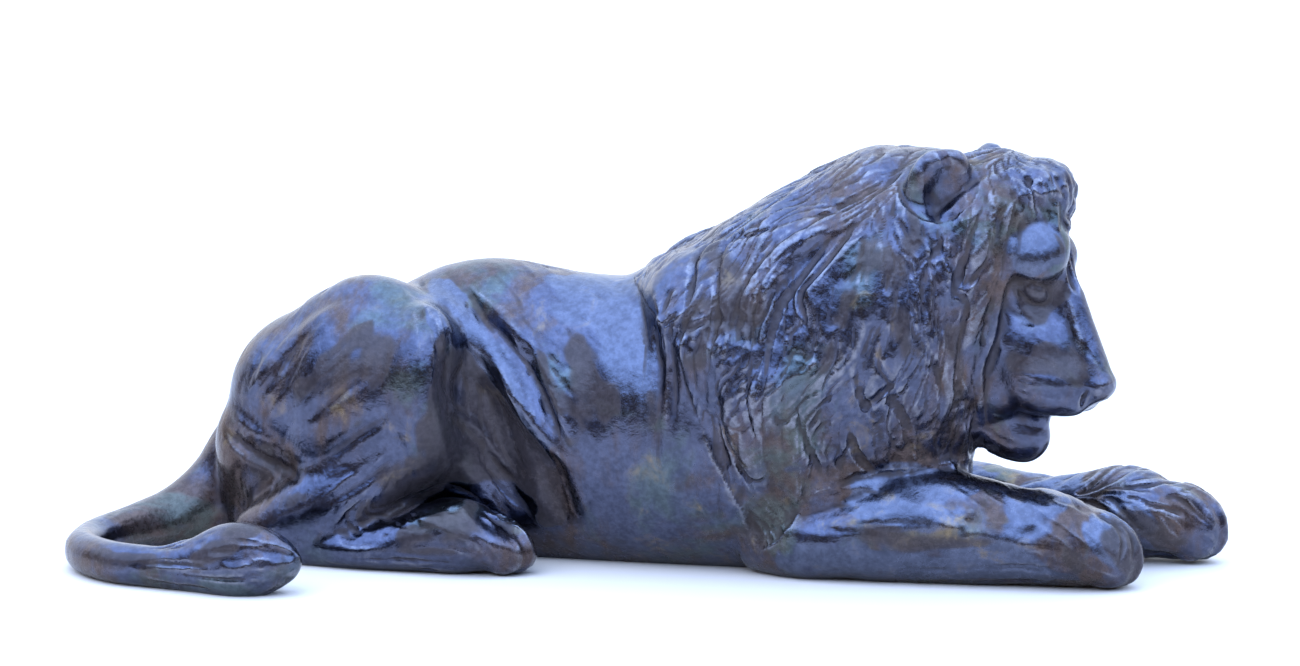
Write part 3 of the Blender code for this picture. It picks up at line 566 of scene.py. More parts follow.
# The creases of eyelids, brow, nose, whiskers and lips in the head's frame: path, half the width, height
FACE = [
    ([(-5, -8.4, 0.6), (-2, -7.8, 1.7), (0.2, -7.4, 1.9), (2.2, -6, 1.2), (3.6, -4.8, -0.4)], 0.7, -0.7),
    ([(-3.6, -7.6, 0), (-1.8, -7.2, 0.9), (0, -7, 1.1), (1.7, -6.2, 0.5), (3, -5.2, -1)], 0.45, -0.4),
    ([(-3.6, -7.4, -0.4), (-1.8, -7, -1.8), (0, -6.8, -2.3), (1.7, -6, -2), (3, -5.2, -1.2)], 0.55, -0.45),
    ([(-4.4, -9, -3.4), (-1, -8.6, -4.6), (2, -7.4, -4.8), (4.4, -5.8, -4.4)], 1.6, -0.35),
    ([(-3, -1.3, 9.6), (0.6, -1.2, 6.8), (3.4, -1.1, 3.6), (6, -1, 0)], 1.3, -1.0),
    ([(3.2, -3.6, 3), (8, -3.6, -1.4), (13.4, -3.9, -6.4)], 1.6, 0.6),
    ([(14.4, -5, -7.6), (15.8, -5, -9), (16.6, -4.6, -11), (16.4, -4, -14)], 0.75, -1.0),
    ([(18.9, 0, -10.6), (18.4, 0, -12.4), (17.4, 0, -15)], 0.8, -0.9),
    ([(3, -10.4, -14.6), (7.6, -9.8, -13), (12.4, -8.2, -11.8)], 0.5, -0.2),
    ([(3.6, -10.2, -16.8), (8.4, -9.6, -15.2), (13.2, -7.6, -13.8)], 0.5, -0.2),
    ([(-0.6, -9.6, -9.4), (0.4, -9.8, -13.4), (1.2, -9.6, -18)], 1.4, -0.6),
    ([(3.4, -7, -25.4), (7.4, -6.2, -26), (11.4, -4.8, -25.4)], 1.2, -0.4),
    ([(4.4, -7.4, -22.6), (8, -6.4, -22.2), (12, -4.6, -21.2)], 0.9, 0.4),
]


def shape_face(lion):
    """Furrows round the eye, the nostrils and nose bridge, the rows of whiskers and the lips."""
    carve(lion, FACE, frame=HEAD)


def top_of_mane(x):
    """Height of the mane's crest over the neck."""
    return np.interp(x, (-2, 17, 38, 56, 75), (51, 62, 73, 75, 70))


def round_ears(points):
    """The push that parts the hair round each ear: away from its middle, fading to none at EAR_REACH."""
    local = in_head(points)
    push = np.zeros_like(local)
    for place in EARS:
        away = local - place
        push += unit(away) * 1.8 * np.clip(1 - np.linalg.norm(away, axis=1, keepdims=True) / EAR_REACH, 0, 1)
    return from_head(push)


def flow_on_head(points, normals):
    """On the crown the hair falls away from a whorl, forward over the brow and down the sides."""
    whorl = np.array(HEAD @ Vector((-22, 0, 12)))
    return along_skin(unit(points - whorl + (0, 0, -4)) + round_ears(points), normals)


def flow(points, normals):
    """Which way the hair lies: back along the crest, turning down the neck, and straight down in front."""
    below = top_of_mane(points[:, 0]) - points[:, 2]
    turned = soft(below, 0, np.interp(points[:, 0], (0, 45, 65), (22, 20, 9)))
    angle = np.radians(25 + 65 * turned + 10 * np.clip((below - 38) / 12, 0, 1))
    way = np.stack([-np.cos(angle), np.sign(points[:, 1]) * 0.55 * (1 - turned), -np.sin(angle)], axis=1)
    front = np.clip(normals[:, :1] * 2 - 0.8, 0, 1) * (points[:, 2:] < 50)
    way = way * (1 - front) + front * np.array((0.0, 0.0, -1.0)) + round_ears(points)
    return along_skin(way, normals)


def on_skin(tree, points):
    """The nearest points of the skin, in centimetres, and its normals there."""
    found = [tree.find_nearest(point)[:2] for point in (points * CM).tolist()]
    return np.array([place for place, _ in found]) / CM, np.array([normal for _, normal in found])


def off_ears(local):
    """True for points of the head's frame that are clear of the ears."""
    return np.all([np.linalg.norm(local - place, axis=1) > EAR_CLEAR for place in EARS], axis=0)


def grows_on_crown(points):
    """The forelock: hair over the forehead, in front of the ears."""
    local = in_head(points)
    return (local[:, 2] > 12.4) & (local[:, 0] > -16) & (abs(local[:, 1]) < 7.5)


def hem(x):
    """Height of the mane's lower edge, over elbow and foreleg."""
    return np.interp(x, (14, 20, 26, 33, 44, 54), (8, 3, 7, 16, 19.5, 20.5))


def rear_edge(z):
    """Where the mane ends behind the shoulder, at each height."""
    return np.interp(z, (0, 12, 22, 32, 42, 50, 56), (24, 20, 15.5, 11.5, 8.5, -2, 4))


def behind_face(points):
    """True behind the edge of the face, off the ears."""
    local = in_head(points)
    face = local[:, 0] > np.interp(local[:, 2], (-30, -22, -15, -7, -1, 4, 8, 14),
                                   (6, 3.2, 0.4, -2.4, -4, -6.4, -8.2, -10.5))
    return ~face & off_ears(local)


def over_brow(points):
    """True over the brows, off the ears."""
    local = in_head(points)
    return (local[:, 2] > 9.6) & off_ears(local)


def haired(points, margin=0):
    """Where the mane lies: behind the face, off the ears and legs, and in front of its rear edge."""
    back = points[:, 0] > rear_edge(points[:, 2]) + margin
    return behind_face(points) & (points[:, 2] > hem(points[:, 0])) & back


def grows(points):
    """Where the locks of the mane are rooted, so that they end at its edge."""
    return haired(points, np.interp(points[:, 2], (20, 40, 50, 60), (1, 4, 15, 12)))


def headroom(heights):
    """Share of its height that hair keeps: 0.15 close under the top of the box, 1 from 5 cm below it."""
    return 0.15 + 0.85 * soft(CAD_BOX[1][2] / CM - heights, 0.8, 5)


LOCK_STEPS = 13  # points along a lock of the mane


def roots_of(lion, chance, count, apart, grows):
    """Points of the skin picked by chance where grows says, each so far apart from the others."""
    places = chance.permutation(points_of(lion)[0])
    kept = []
    for root in places[grows(places)][:count * 8]:  # more than are kept, since many stand too close
        if not kept or np.linalg.norm(np.array(kept) - root, axis=1).min() > apart:
            kept.append(root)
    return np.array(kept[:count])


def trails_of(tree, roots, spans, sways, flow):
    """The points of the skin that each lock passes, and the normals there, a span apart along the flow.

    A lock sways to one side and back as it goes."""
    points, normals = on_skin(tree, roots)
    trails, ups = [points], [normals]
    for step in range(LOCK_STEPS - 1):
        way = flow(points, normals)
        way = way + np.cross(normals, way) * (sways * math.cos(step * 0.55))[:, None]
        points, normals = on_skin(tree, points + way * spans[:, None])
        trails.append(points)
        ups.append(normals)
    return np.array(trails), np.array(ups)


def locks(lion, count, length, width, proud, seed, strands, sink=0.9, grows=grows, flow=flow,
          stays=behind_face):
    """Locks of hair laid on the skin where grows says: each follows the flow and ends in a point.

    A lock is made of strands side by side, each with its own length and height. sink is how far its end goes
    back into the skin, as a share. A lock ends where stays says no, and lies flat near the top of the box."""
    tree = BVHTree.FromObject(lion, bpy.context.evaluated_depsgraph_get())
    chance = np.random.default_rng(seed)
    roots = roots_of(lion, chance, count, width * 0.9, grows)
    spans = length * chance.uniform(0.7, 1.2, len(roots)) / (LOCK_STEPS - 1)
    spans *= np.clip((roots[:, 2] - hem(roots[:, 0])) / (0.8 * length), 0.35, 1)  # short near the hem
    trails, ups = trails_of(tree, roots, spans, chance.uniform(-0.42, 0.42, len(roots)), flow)
    over_edge = np.cumsum([~stays(points) for points in trails], axis=0) > 0
    room = headroom(trails[:, :, 2])
    wide = width * chance.uniform(0.75, 1.25, len(roots))
    share = np.linspace(0, 1, LOCK_STEPS)
    bunch = np.clip(share * 3 + 0.45, 0, 1) * np.sqrt(np.clip(1 - share**2, 0.04, 1))
    lift = np.clip(share * 2, 0, 1) * (1 - sink * share**3)
    crest = soft(top_of_mane(roots[:, 0]) - roots[:, 2], 2, 12)
    low = soft(roots[:, 2] - hem(roots[:, 0]), -2, 14) * (0.5 + 0.5 * crest)
    made = []
    for k in range(len(roots)):
        path, up = trails[:, k], ups[:, k]
        stand = proud * (0.35 + 0.65 * low[k]) * room[:, k]
        side = unit(np.cross(up, np.gradient(path, axis=0)))
        for j in range(strands):
            place = (j - (strands - 1) / 2) / strands
            own = chance.uniform(0.82, 1)
            wave = 0.12 * np.sin(share * chance.uniform(4, 9) + chance.uniform(0, math.tau))
            across = wide[k] * (place * bunch + wave / strands)
            height = stand * (lift * (1 - 1.1 * place**2) * chance.uniform(0.7, 1.1) - 0.75)
            height = np.where(over_edge[:, k], -2.5, height - 1.2 * (1 - room[:, k]))
            line, up = on_skin(tree, path + side * across[:, None])
            line += up * height[:, None]
            taper = np.clip(share * 4 + 0.4, 0, 1) * np.sqrt(np.clip(1 - (share / own) ** 2, 0.01, 1))
            half = wide[k] / strands * 0.56 * taper * (0.6 + 0.4 * bunch)
            made.append(ribbon("strand", line, up, half, stand * (0.3 + 0.7 * taper)))
    return made


def face_locks(lion):
    """Long strands that part over the forehead and sweep down behind each cheek to the throat."""
    tree = BVHTree.FromObject(lion, bpy.context.evaluated_depsgraph_get())
    chance = np.random.default_rng(21)
    course = np.array([(-6.4, -1, 18), (-7.6, -5, 16.6), (-8.6, -8, 12.2), (-8.2, -9.8, 7.5),
                       (-6.4, -10.4, 3.4), (-4.2, -10.6, -1.1), (-2.6, -10.6, -7.4), (0, -10, -15.5),
                       (2.8, -9, -22.1), (5, -7, -27.4)])
    made = []
    for side in (1, -1):
        place = mirrored(side, HEAD)
        for k in range(16):
            wave = chance.uniform(-0.7, 0.7, course.shape) * (1, 0.3, 1)
            back = np.outer(np.linspace(0.3, 1.2, len(course)), (-k, -0.1 * k, 0.15 * k))
            path = smooth_rows(course + wave + back, 3)
            first, last = (0, 0) if k == 0 else chance.integers(0, 9, 2)
            path = path[first:len(path) - last]
            points, up = on_skin(tree, carried(path, place))
            share = np.linspace(0, 1, len(points))
            thick = chance.uniform(0.9, 1.5) * np.sin(np.pi * (0.12 + 0.86 * share)) + 0.12
            sunk = 1 - headroom(points[:, 2])
            made.append(ribbon("face_lock", points - up * 1.5 * sunk[:, None], up, thick, thick * 0.75))
    return made


def ribbon(name, path, up, half_width, half_height, around=10):
    """A flattened form along the path: oval rings round it, with their broad side facing up."""
    side = unit(np.cross(up, np.gradient(path, axis=0)))
    return skin_over(name, rings_round(path, side, up, half_width, half_height, around), path[0], path[-1])


# Which way the short coat lies, seen from the side: x, z, then the way in x and z
COAT = [
    (-78, 22, -0.6, -0.8), (-66, 34, -0.6, -0.8), (-62, 12, -0.3, -1), (-50, 46, -0.9, -0.5),
    (-52, 30, -0.75, -0.65), (-46, 16, -0.8, -0.5), (-37, 40, -0.1, -1), (-36, 26, -0.2, -1),
    (-40, 7, 1, 0.25), (-27, 10, 1, -0.2), (-17, 7, 0.5, -1), (-30, 52, 0.9, -0.3), (-30, 40, 0.6, -0.8),
    (-22, 42, 0.75, -0.65), (-16, 28, 0.55, -0.85), (-24, 22, 0.15, -1), (-12, 12, 0.3, -1),
    (-8, 50, 1, -0.2), (-4, 38, 0.5, -0.9), (0, 20, 0.1, -1), (8, 46, 0.2, -1), (8, 30, 0, -1),
    (14, 12, 0.25, -1), (45, 10, 1, 0), (66, 10, 1, -0.1), (80, 8, 0.8, -0.6), (96, 8, 0.8, -0.6)]


def coat_flow(points, normals):
    """Which way the short coat lies: the mean of what COAT says, each row weighed by a bell of its distance.

    On the tail it lies along the tail."""
    rows = np.array(COAT, float)
    away = ((points[:, None, (0, 2)] - rows[None, :, :2]) ** 2).sum(axis=2)
    near = np.exp(-away / (2 * 6.0**2)) + 1e-12 / (1 + away)
    lies = near @ rows[:, 2:]
    top = np.clip(normals[:, 2], 0, 1)
    way = np.stack([lies[:, 0], np.sign(points[:, 1]) * top * np.abs(lies).sum(axis=1), lies[:, 1]], axis=1)
    tail = np.array(TAIL, float)
    path = smooth_rows(tail[:, :3], 4)
    middle = (path[1:] + path[:-1]) / 2
    tangent = unit(path[1:] - path[:-1])
    ahead = points[:, 0] < -47
    off = ((points[ahead, None] - middle[None]) ** 2).sum(axis=2)
    nearest = off.argmin(axis=1)
    hold = (off.min(axis=1) < 11**2) & ((points[ahead, 0] < -77) | (points[ahead, 1] < -38))
    chosen = way[ahead]
    chosen[hold] = tangent[nearest[hold]]
    way[ahead] = chosen
    return along_skin(way, normals)


def face_flow(points, normals):
    """On the face the coat runs back from the nose."""
    return along_skin(from_head(in_head(points) - (24, 0, -9)), normals)


def cloud(points, size, seed):
    """A smooth random field with blots about size across and a spread of 1.

    It eases between random numbers that stand at the corners of a lattice, size apart."""
    count = 48
    grid = np.random.default_rng(seed).standard_normal((count, count, count)).ravel()
    scaled = points / size + 1000.37
    base = np.floor(scaled).astype(int)
    part = scaled - base
    part = part * part * (3 - 2 * part)
    total = np.zeros(len(points))
    for corner in np.ndindex(2, 2, 2):
        at = (base + corner) % count
        share = np.where(np.array(corner), part, 1 - part).prod(axis=1)
        total += share * grid[(at[:, 0] * count + at[:, 1]) * count + at[:, 2]]
    return total / max(total.std(), 1e-9)


class Skin:
    """The finished skin as arrays: its points, normals, the zones it falls in and the way the hair lies."""

    def __init__(self, lion):
        self.points, self.normals = points_of(lion)
        local = in_head(self.points)
        on_head = (local[:, 0] > -24) & (abs(local[:, 1]) < 22)
        crown = soft(local[:, 2], 10.5, 12.5) * soft(local[:, 0], -22, -12) * on_head
        face = ~haired(self.points) * (local[:, 0] > -9) * on_head * (self.points[:, 2] > 21)
        hair = haired(self.points) * 1.0
        self.crown = np.clip(crown, 0, 1)
        self.face = np.clip(face * (1 - self.crown), 0, 1)
        self.mane = np.clip(hair * (1 - self.crown) * (1 - self.face), 0, 1)
        self.coat = np.clip(1 - self.crown - self.face - self.mane, 0, 1)
        way = (flow_on_head(self.points, self.normals) * self.crown[:, None]
               + face_flow(self.points, self.normals) * self.face[:, None]
               + flow(self.points, self.normals) * self.mane[:, None]
               + coat_flow(self.points, self.normals) * self.coat[:, None])
        bend = 0.4 * cloud(self.points, 13, 16) * self.mane
        self.way = unit(way + np.cross(self.normals, way) * bend[:, None])
        self.tree = KDTree(len(self.points))
        for index, point in enumerate(self.points.tolist()):
            self.tree.insert(point, index)
        self.tree.balance()

    def drawn_out(self, value, step, doublings):
        """The value summed over 2 ** doublings steps along the hair, brought to mean 0 and spread 1."""
        goal = self.points + self.way * step
        ahead = np.array([self.tree.find(point)[1] for point in goal.tolist()])
        for _ in range(doublings):
            value = value + value[ahead]
            ahead = ahead[ahead]
        value = value - value.mean()
        return value / value.std()


def neighbour_mean(mesh, values, rounds):
    """Each point's value replaced by the mean of its neighbours', over some rounds."""
    ends = np.empty(len(mesh.edges) * 2, np.int32)
    mesh.edges.foreach_get("vertices", ends)
    a, b = ends.reshape(-1, 2).T
    count = np.maximum(np.bincount(a, minlength=len(values)) + np.bincount(b, minlength=len(values)), 1)
    for _ in range(rounds):
        values = (np.bincount(a, values[b], len(values)) + np.bincount(b, values[a], len(values))) / count
    return values


def strokes_of_hair(lion):
    """Swells and grooves of the mane's strands, and the short strokes of the coat, all along the hair."""
    skin = Skin(lion)
    swell = neighbour_mean(lion.data, skin.drawn_out(cloud(skin.points, 5, 10), 1, 4), 12)
    broad = neighbour_mean(lion.data, skin.drawn_out(cloud(skin.points, 2.2, 11), 0.6, 5), 2)
    fine = neighbour_mean(lion.data, skin.drawn_out(cloud(skin.points, 0.9, 12), 0.4, 5), 1)
    hair = neighbour_mean(lion.data, np.clip(skin.mane + skin.crown, 0, 1), 6)
    smooth = soft(cloud(skin.points, 9, 13), -0.4, 1.0)
    deep = soft(cloud(skin.points, 5, 15), -0.2, 1.4)
    lines = 0.65 * deep * (1 - soft(abs(swell), 0, 0.3))
    lines += 0.5 * (0.35 + 0.65 * deep) * (1 - soft(abs(broad), 0, 0.4)) * (1 - 0.6 * smooth)
    lines += 0.2 * (1 - soft(abs(fine), 0, 0.6)) * (1 - 0.6 * smooth)
    push = hair * (0.55 * skin.mane * np.clip(swell, -1.5, 1.5) - lines)
    rough = 0.3 + 0.7 * soft(cloud(skin.points, 8, 14), -0.3, 0.9)
    x, y, z = skin.points.T
    hind = 0.6 * soft(x, -56, -46) * soft(-10 - x, 0, 3) * soft(abs(y), 14, 17) * soft(14 - z, 0, 3)
    fore = soft(x, 62, 76) * soft(y, -6, 4) + 0.35 * soft(x, 40, 76) * soft(-y, 2, 6)
    ends = hind + fore + soft(-38 - y, 0, 3) * soft(x, -80, -72)
    coat = skin.coat * (1 - hair)
    fold = soft(-8 - x, 0, 5) * soft(x, -40, -30) * soft(46 - z, 0, 6)
    push -= coat * rough * (0.14 * soft(-fine, 0.2, 1.6) + 0.18 * soft(-broad, 0.5, 1.8))
    push -= coat * fold * (0.1 * soft(-fine, 0, 1.5) + 0.14 * soft(-broad, 0, 1.5))
    push -= coat * ends * (0.34 * soft(-fine, 0, 1.5) + 0.5 * soft(-broad, 0, 1.5))
    push -= 0.06 * skin.face * soft(-fine, 0.3, 1.6)
    push *= soft(skin.points[:, 2], 0.2, 1.2)
    store(lion, "streak", broad + 0.7 * fine + cloud(skin.points, 3, 17))
    move_skin(lion, skin.points + skin.normals * push[:, None])


def mark_hollows(lion):
    """Stores how deep each point lies below the skin around it, and how proud it stands, each from 0 to 1.

    Both are measured along the normal, to the mean of the skin close by and to that of a wider patch."""
    points, normals = points_of(lion)
    near, wide = (np.stack([neighbour_mean(lion.data, points[:, k], rounds) for k in range(3)], axis=1)
                  for rounds in (4, 28))
    small = ((near - points) * normals).sum(axis=1)
    large = ((wide - points) * normals).sum(axis=1)
    for name, value in (("hollow", small / 0.05 + large / 1.6), ("ridge", -small / 0.06 - large / 1.4)):
        store(lion, name, np.clip(value / 2, 0, 1))


# Where the bronze is brown and dull, partly brown patina and partly painted shade: how surely, how far off
# the middle at least, and the outline on the flank's (x, z)
STAINS_AND_SHADE = [
    (1.1, 0, [(-32, 41.5), (-24.5, 32.7), (-18, 25), (-13.2, 19.7), (-11.2, 13), (-11, 7.8), (-16, 8),
              (-18, 12.6), (-22, 14), (-34.6, 14), (-35.5, 21), (-33.5, 31)]),
    (1, 0, [(-17.2, 40.7), (-14.4, 38), (-13.2, 34.3), (-10.9, 26.3), (-12, 26.3), (-15, 31.8), (-17, 37.3)]),
    (0.8, 0, [(-11.8, 41.5), (-7, 41), (-5.5, 35.3), (-1.5, 32.3), (-1, 28.3), (-4.6, 24.4), (-9.4, 25),
              (-10.6, 32)]),
    (0.9, 0, [(-62.6, 24.7), (-59.6, 29.7), (-55.2, 36.8), (-49.4, 42), (-45, 44.4), (-42.3, 42),
              (-38.8, 40), (-40.2, 35.2), (-45.2, 33), (-51, 30.7), (-56.8, 27.7)]),
    (1, 0, [(-72.6, 22.7), (-71.4, 27.2), (-68.8, 28.5), (-67, 25.5), (-67.8, 22.5)]),
    (0.9, 0, [(-69.4, 20.3), (-65, 21.5), (-60, 16), (-61, 12.4), (-65, 13.3), (-68, 10.7)]),
    (1.1, 0, [(-63.6, 8.3), (-59.6, 12), (-53.8, 14.3), (-49, 17.3), (-49.8, 15.5), (-54.5, 12),
              (-59.6, 9.5)]),
    (0.7, 0, [(10.8, 59.5), (15.7, 61.7), (18.4, 55), (21.9, 50.2), (26, 48.3), (26.7, 42.2), (21.9, 40.7),
              (18.5, 43.3), (16.4, 39), (17, 33), (15, 31.2), (10.2, 31.7), (9.5, 39), (10.2, 48)]),
    (0.6, 0, [(42, 61), (47.3, 66), (51.4, 61.4), (50, 56), (51.5, 50), (53, 40.5), (50.2, 37.7),
              (47.5, 41.7), (44, 49.7), (40.7, 51), (40, 48.3), (36.7, 34.6), (34, 34.5), (35.3, 42.7),
              (38, 51)]),
    (0.9, 0, [(16.8, 8.8), (19, 15.8), (22.7, 12), (24, 5.6), (20, 4.4)]),
    (1, 0, [(35, 13.3), (42, 11), (47.5, 10.3), (54.3, 9.6), (58.4, 11.4), (59.4, 8.4), (52.6, 6.8),
            (47.5, 7), (42, 8)]),
    (0.8, 0, [(2.5, 30.8), (4.6, 34.3), (6.3, 31), (7.4, 27.5), (5, 24), (2.5, 25.6)]),
    (0.7, 0, [(54.6, 50.5), (57.2, 54), (59, 49), (58.7, 40), (58.2, 31.8), (56.5, 28.3), (55, 35),
              (54.3, 43.7)]),
    (1.5, 0, [(64.2, 53.2), (67.8, 52.5), (74, 51.8), (73.6, 48.3), (72, 46), (69.3, 44), (67.6, 44.7),
              (69, 46.8), (67, 48.2), (64.9, 50)]),
    (0.9, 0, [(64.5, 40.8), (68.2, 42.3), (72, 43), (76, 41.2), (78, 37.8), (77.4, 34.7), (73, 36),
              (68.2, 36.8), (65.2, 37.8)]),
    (1, 40, [(-89.3, 5.3), (-85, 6), (-71.7, 5.7), (-72.3, 3.9), (-85, 2.7), (-89, 3.2)]),
    (0.9, 40, [(-70.5, 6.7), (-66.2, 8.7), (-62.4, 10.6), (-58.5, 11), (-58, 8), (-60.7, 6.4), (-66.3, 5)]),
    (0.9, 19, [(-44.7, 5), (-38.2, 8.8), (-31, 11.3), (-25.8, 12.2), (-24, 8.5), (-25.8, 4), (-33, 2.5),
               (-41.8, 3.4)]),
    (0.9, 15, [(-48, 10), (-42, 17), (-36, 22), (-33, 14), (-37, 10), (-44, 8)]),
    (0.9, 0, [(72, 10), (76.2, 10.8), (78, 8), (80, 5.8), (77.2, 3.7), (74.3, 6.6)]),
    (0.8, 0, [(80, 9.6), (83, 10.2), (87.5, 8.7), (92.7, 7), (94.5, 3.3), (87.6, 2.3), (86, 5)]),
]
# Where the patina is bright and bluer, partly a painted sheen, as outlines alone
BRIGHT_PATINA_AND_SHEEN = [
    [(63.6, 54.8), (64.6, 59.2), (68, 62), (71.6, 61.7), (73.3, 59), (73, 55.3), (69.7, 53.6), (66, 53.5)],
    [(64.6, 47), (68.3, 48.3), (71.4, 46), (72, 44), (69.4, 42.6), (65.4, 43.2)],
    [(-39.7, 49.5), (-33, 49), (-26, 42), (-18.8, 33.4), (-11.5, 17.3), (-14, 17.5), (-22.4, 27.7),
     (-27.7, 34.5), (-33, 41.7)],
    [(-17.2, 49.6), (3.8, 51.6), (6, 27), (3, 25.3), (0.3, 29.7), (-4, 34), (-6.7, 42), (-14.6, 42.8)],
    [(38.6, 12), (38, 19), (50, 21), (60, 19), (58, 11), (51.6, 9.2), (46.4, 10.4), (41, 11.2)],
    [(65, 9.5), (64, 17), (75, 17), (74.5, 10), (68.7, 9.5)],
    [(24, 3.5), (30.3, 7.9), (37.2, 6.5), (47.5, 5.5), (57.7, 7.3), (69.6, 7.8), (74, 2.5), (69.6, 1.6),
     (27, 1.2)],
    [(78.3, 11.7), (82.6, 13.4), (87, 11), (88.4, 6.6), (83, 5.4), (79.7, 7)],
]


def within(places, outline):
    """1 for the (x, z) places inside the outline, 0 outside.

    A line straight ahead from a place inside crosses the outline an odd number of times."""
    crossed = np.zeros(len(places), bool)
    for (ax, az), (bx, bz) in zip(outline, outline[1:] + outline[:1]):
        spans = (az > places[:, 1]) != (bz > places[:, 1])
        crossed ^= spans & (places[:, 0] < ax + (places[:, 1] - az) * (bx - ax) / (bz - az + 1e-9))
    return crossed * 1.0


def store(lion, name, value):
    """Keeps a value for each point of the skin under name, for the material to read."""
    made = lion.data.attributes.new(name, "FLOAT", "POINT")
    made.data.foreach_set("value", value.astype(np.float32))


def mark_stains_and_shade(lion):
    """Stores how brown and how bright the patina is at each point, from 0 to 1: the brown is partly painted
    shade, and the bright partly a painted sheen.

    The patches are 1 inside their outlines, blurred over the skin and streaked along the hair."""
    points, _ = points_of(lion)
    places = points[:, (0, 2)]
    streak = np.empty(len(places), np.float32)
    lion.data.attributes["streak"].data.foreach_get("value", streak)
    for name, outlines in (("stained_and_shaded", STAINS_AND_SHADE), ("bright_patina_and_sheen", [(1, 0, outline) for outline in BRIGHT_PATINA_AND_SHEEN])):
        value = np.max([sure * within(places, outline) * (abs(points[:, 1]) > least)
                        for sure, least, outline in outlines], axis=0)
        store(lion, name, soft(neighbour_mean(lion.data, value, 40) + 0.14 * streak, 0.25, 0.85))


def drop_crumbs(clay):
    """Removes every loose bit but the largest body."""
    left = set(clay.verts)
    bodies = []
    while left:
        body, edge = set(), [left.pop()]
        while edge:
            vert = edge.pop()
            body.add(vert)
            reached = {link.other_vert(vert) for link in vert.link_edges} & left
            left -= reached
            edge.extend(reached)
        bodies.append(body)
    bodies.sort(key=len)
    bmesh.ops.delete(clay, geom=[vert for body in bodies[:-1] for vert in body], context="VERTS")


def seat(lion):
    """The underside cut flat on the floor and closed."""
    clay = bmesh.new()
    clay.from_mesh(lion.data)
    everything = clay.verts[:] + clay.edges[:] + clay.faces[:]
    bmesh.ops.bisect_plane(clay, geom=everything, plane_co=(0, 0, 0), plane_no=(0, 0, -1), clear_outer=True)
    rim = [edge for edge in clay.edges if edge.is_boundary]
    bmesh.ops.edgeloop_fill(clay, edges=rim)
    drop_crumbs(clay)
    bmesh.ops.recalc_face_normals(clay, faces=clay.faces)
    clay.to_mesh(lion.data)
    clay.free()


def keep_in_box(lion):
    """No point of the skin stands outside the model's box. What is close under its top is eased below it."""
    points = vectors_of(lion.data.vertices, "co")
    low, high = np.array(CAD_BOX[0]), np.array(CAD_BOX[1])
    room = 0.012  # metres under the top
    over = np.maximum(points[:, 2] - high[2] + room, 0)
    points[:, 2] -= over - room * (1 - np.exp(-over / room))
    lion.data.vertices.foreach_set("co", np.clip(points, low, high).ravel())
    lion.data.update()


def sculpt():
    """The whole beast as one skin: its masses and limbs run together, then its hair, and the marks on it."""
    masses = fuse("masses", [trunk()] + haunch(1, 1) + haunch(-1, 0.86) + mane(), COARSE_CLAY, 8)
    tail = sweep("tail", TAIL)
    face = rounded(fuse("face", skull(), 0.8, 5))
    shape_face_masses(face)
    lion = fuse("lion", [rounded(masses), face, tail] + hind_feet() + forelegs() + head(), FINE_CLAY, 3)
    shape_body(lion)
    shape_ears(lion)
    lion = rounded(lion)
    hair = locks(lion, count=70, length=27, width=11, proud=0.6, seed=3, strands=3)
    hair += locks(lion, count=60, length=5.6, width=3.6, proud=1.3, seed=5, strands=2, sink=0.4,
                  grows=grows_on_crown, flow=flow_on_head, stays=over_brow)
    lion = fuse("lion", [lion] + hair + face_locks(lion) + eyes(), SKIN, 8)
    shape_face(lion)
    shape_mane(lion)
    strokes_of_hair(lion)
    seat(lion)
    keep_in_box(lion)
    mark_hollows(lion)
    mark_stains_and_shade(lion)
    return lion


def split(lion, parts):
    """The skin cut into pieces, each with the whole skin's normals, so that no seam shows.

    parts gives each piece's name and test, and the last piece takes what is left."""
    mesh = lion.data
    normals = vectors_of(mesh.vertex_normals, "vector")
    centres = vectors_of(mesh.polygons, "center") / CM
    owner = np.full(len(centres), len(parts) - 1)
    for k, (_, test) in reversed(list(enumerate(parts[:-1]))):
        owner[test(centres)] = k
    made = []
    for k, (name, _) in enumerate(parts):
        clay = bmesh.new()
        clay.from_mesh(mesh)
        keeper = clay.verts.layers.int.new("was")
        for index, vert in enumerate(clay.verts):
            vert[keeper] = index
        gone = [face for face, own in zip(clay.faces, owner.tolist()) if own != k]
        bmesh.ops.delete(clay, geom=gone, context="FACES")
        own_mesh = mesh_of(name, clay)
        was = np.empty(len(own_mesh.vertices), np.int32)
        own_mesh.attributes["was"].data.foreach_get("value", was)
        own_mesh.attributes.remove(own_mesh.attributes["was"])
        own_mesh.shade_smooth()
        own_mesh.normals_split_custom_set_from_vertices(normals[was].tolist())
        made.append(placed(name, own_mesh))
    bpy.data.objects.remove(lion)
    return made


# The pieces that the skin is cut into, with a test each. A face goes to the first piece whose test it passes
PARTS = [("lion_head", lambda p: (in_head(p)[:, 0] > -17) & (p[:, 2] > 20) & (p[:, 0] > 50)),
         ("lion_neck", lambda p: (p[:, 0] > 33) & (p[:, 0] < 62) & (p[:, 2] > 14)),
         ("lion_shoulders", lambda p: (p[:, 0] > 8) & (p[:, 0] < 33)),
         ("lion_forelegs", lambda p: p[:, 0] > 8),
         ("lion_flanks", lambda p: p[:, 0] > -30),
         ("lion_haunches", lambda p: p[:, 0] > -62),
         ("lion_tail", None)]


# Reflectance of the metal where it faces the eye, in the open and where the patina has taken
BLUE_BRONZE = (0.075, 0.083, 0.128, 1)
# For the bright patches, partly a painted sheen:
BRIGHT_BRONZE_AND_SHEEN = (0.1, 0.113, 0.162, 1)
BROWN_BRONZE = (0.085, 0.056, 0.042, 1)
OCHRE = (0.20, 0.145, 0.075, 1)
VERDIGRIS = (0.085, 0.115, 0.105, 1)
# Dark patina with painted shade, for the hollows:
GRIME_AND_SHADE = (0.044, 0.034, 0.032, 1)
# The stains' brown, partly painted shade:
RUST_AND_SHADE = (0.047, 0.037, 0.037, 1)
WORN = (0.17, 0.17, 0.2, 1)


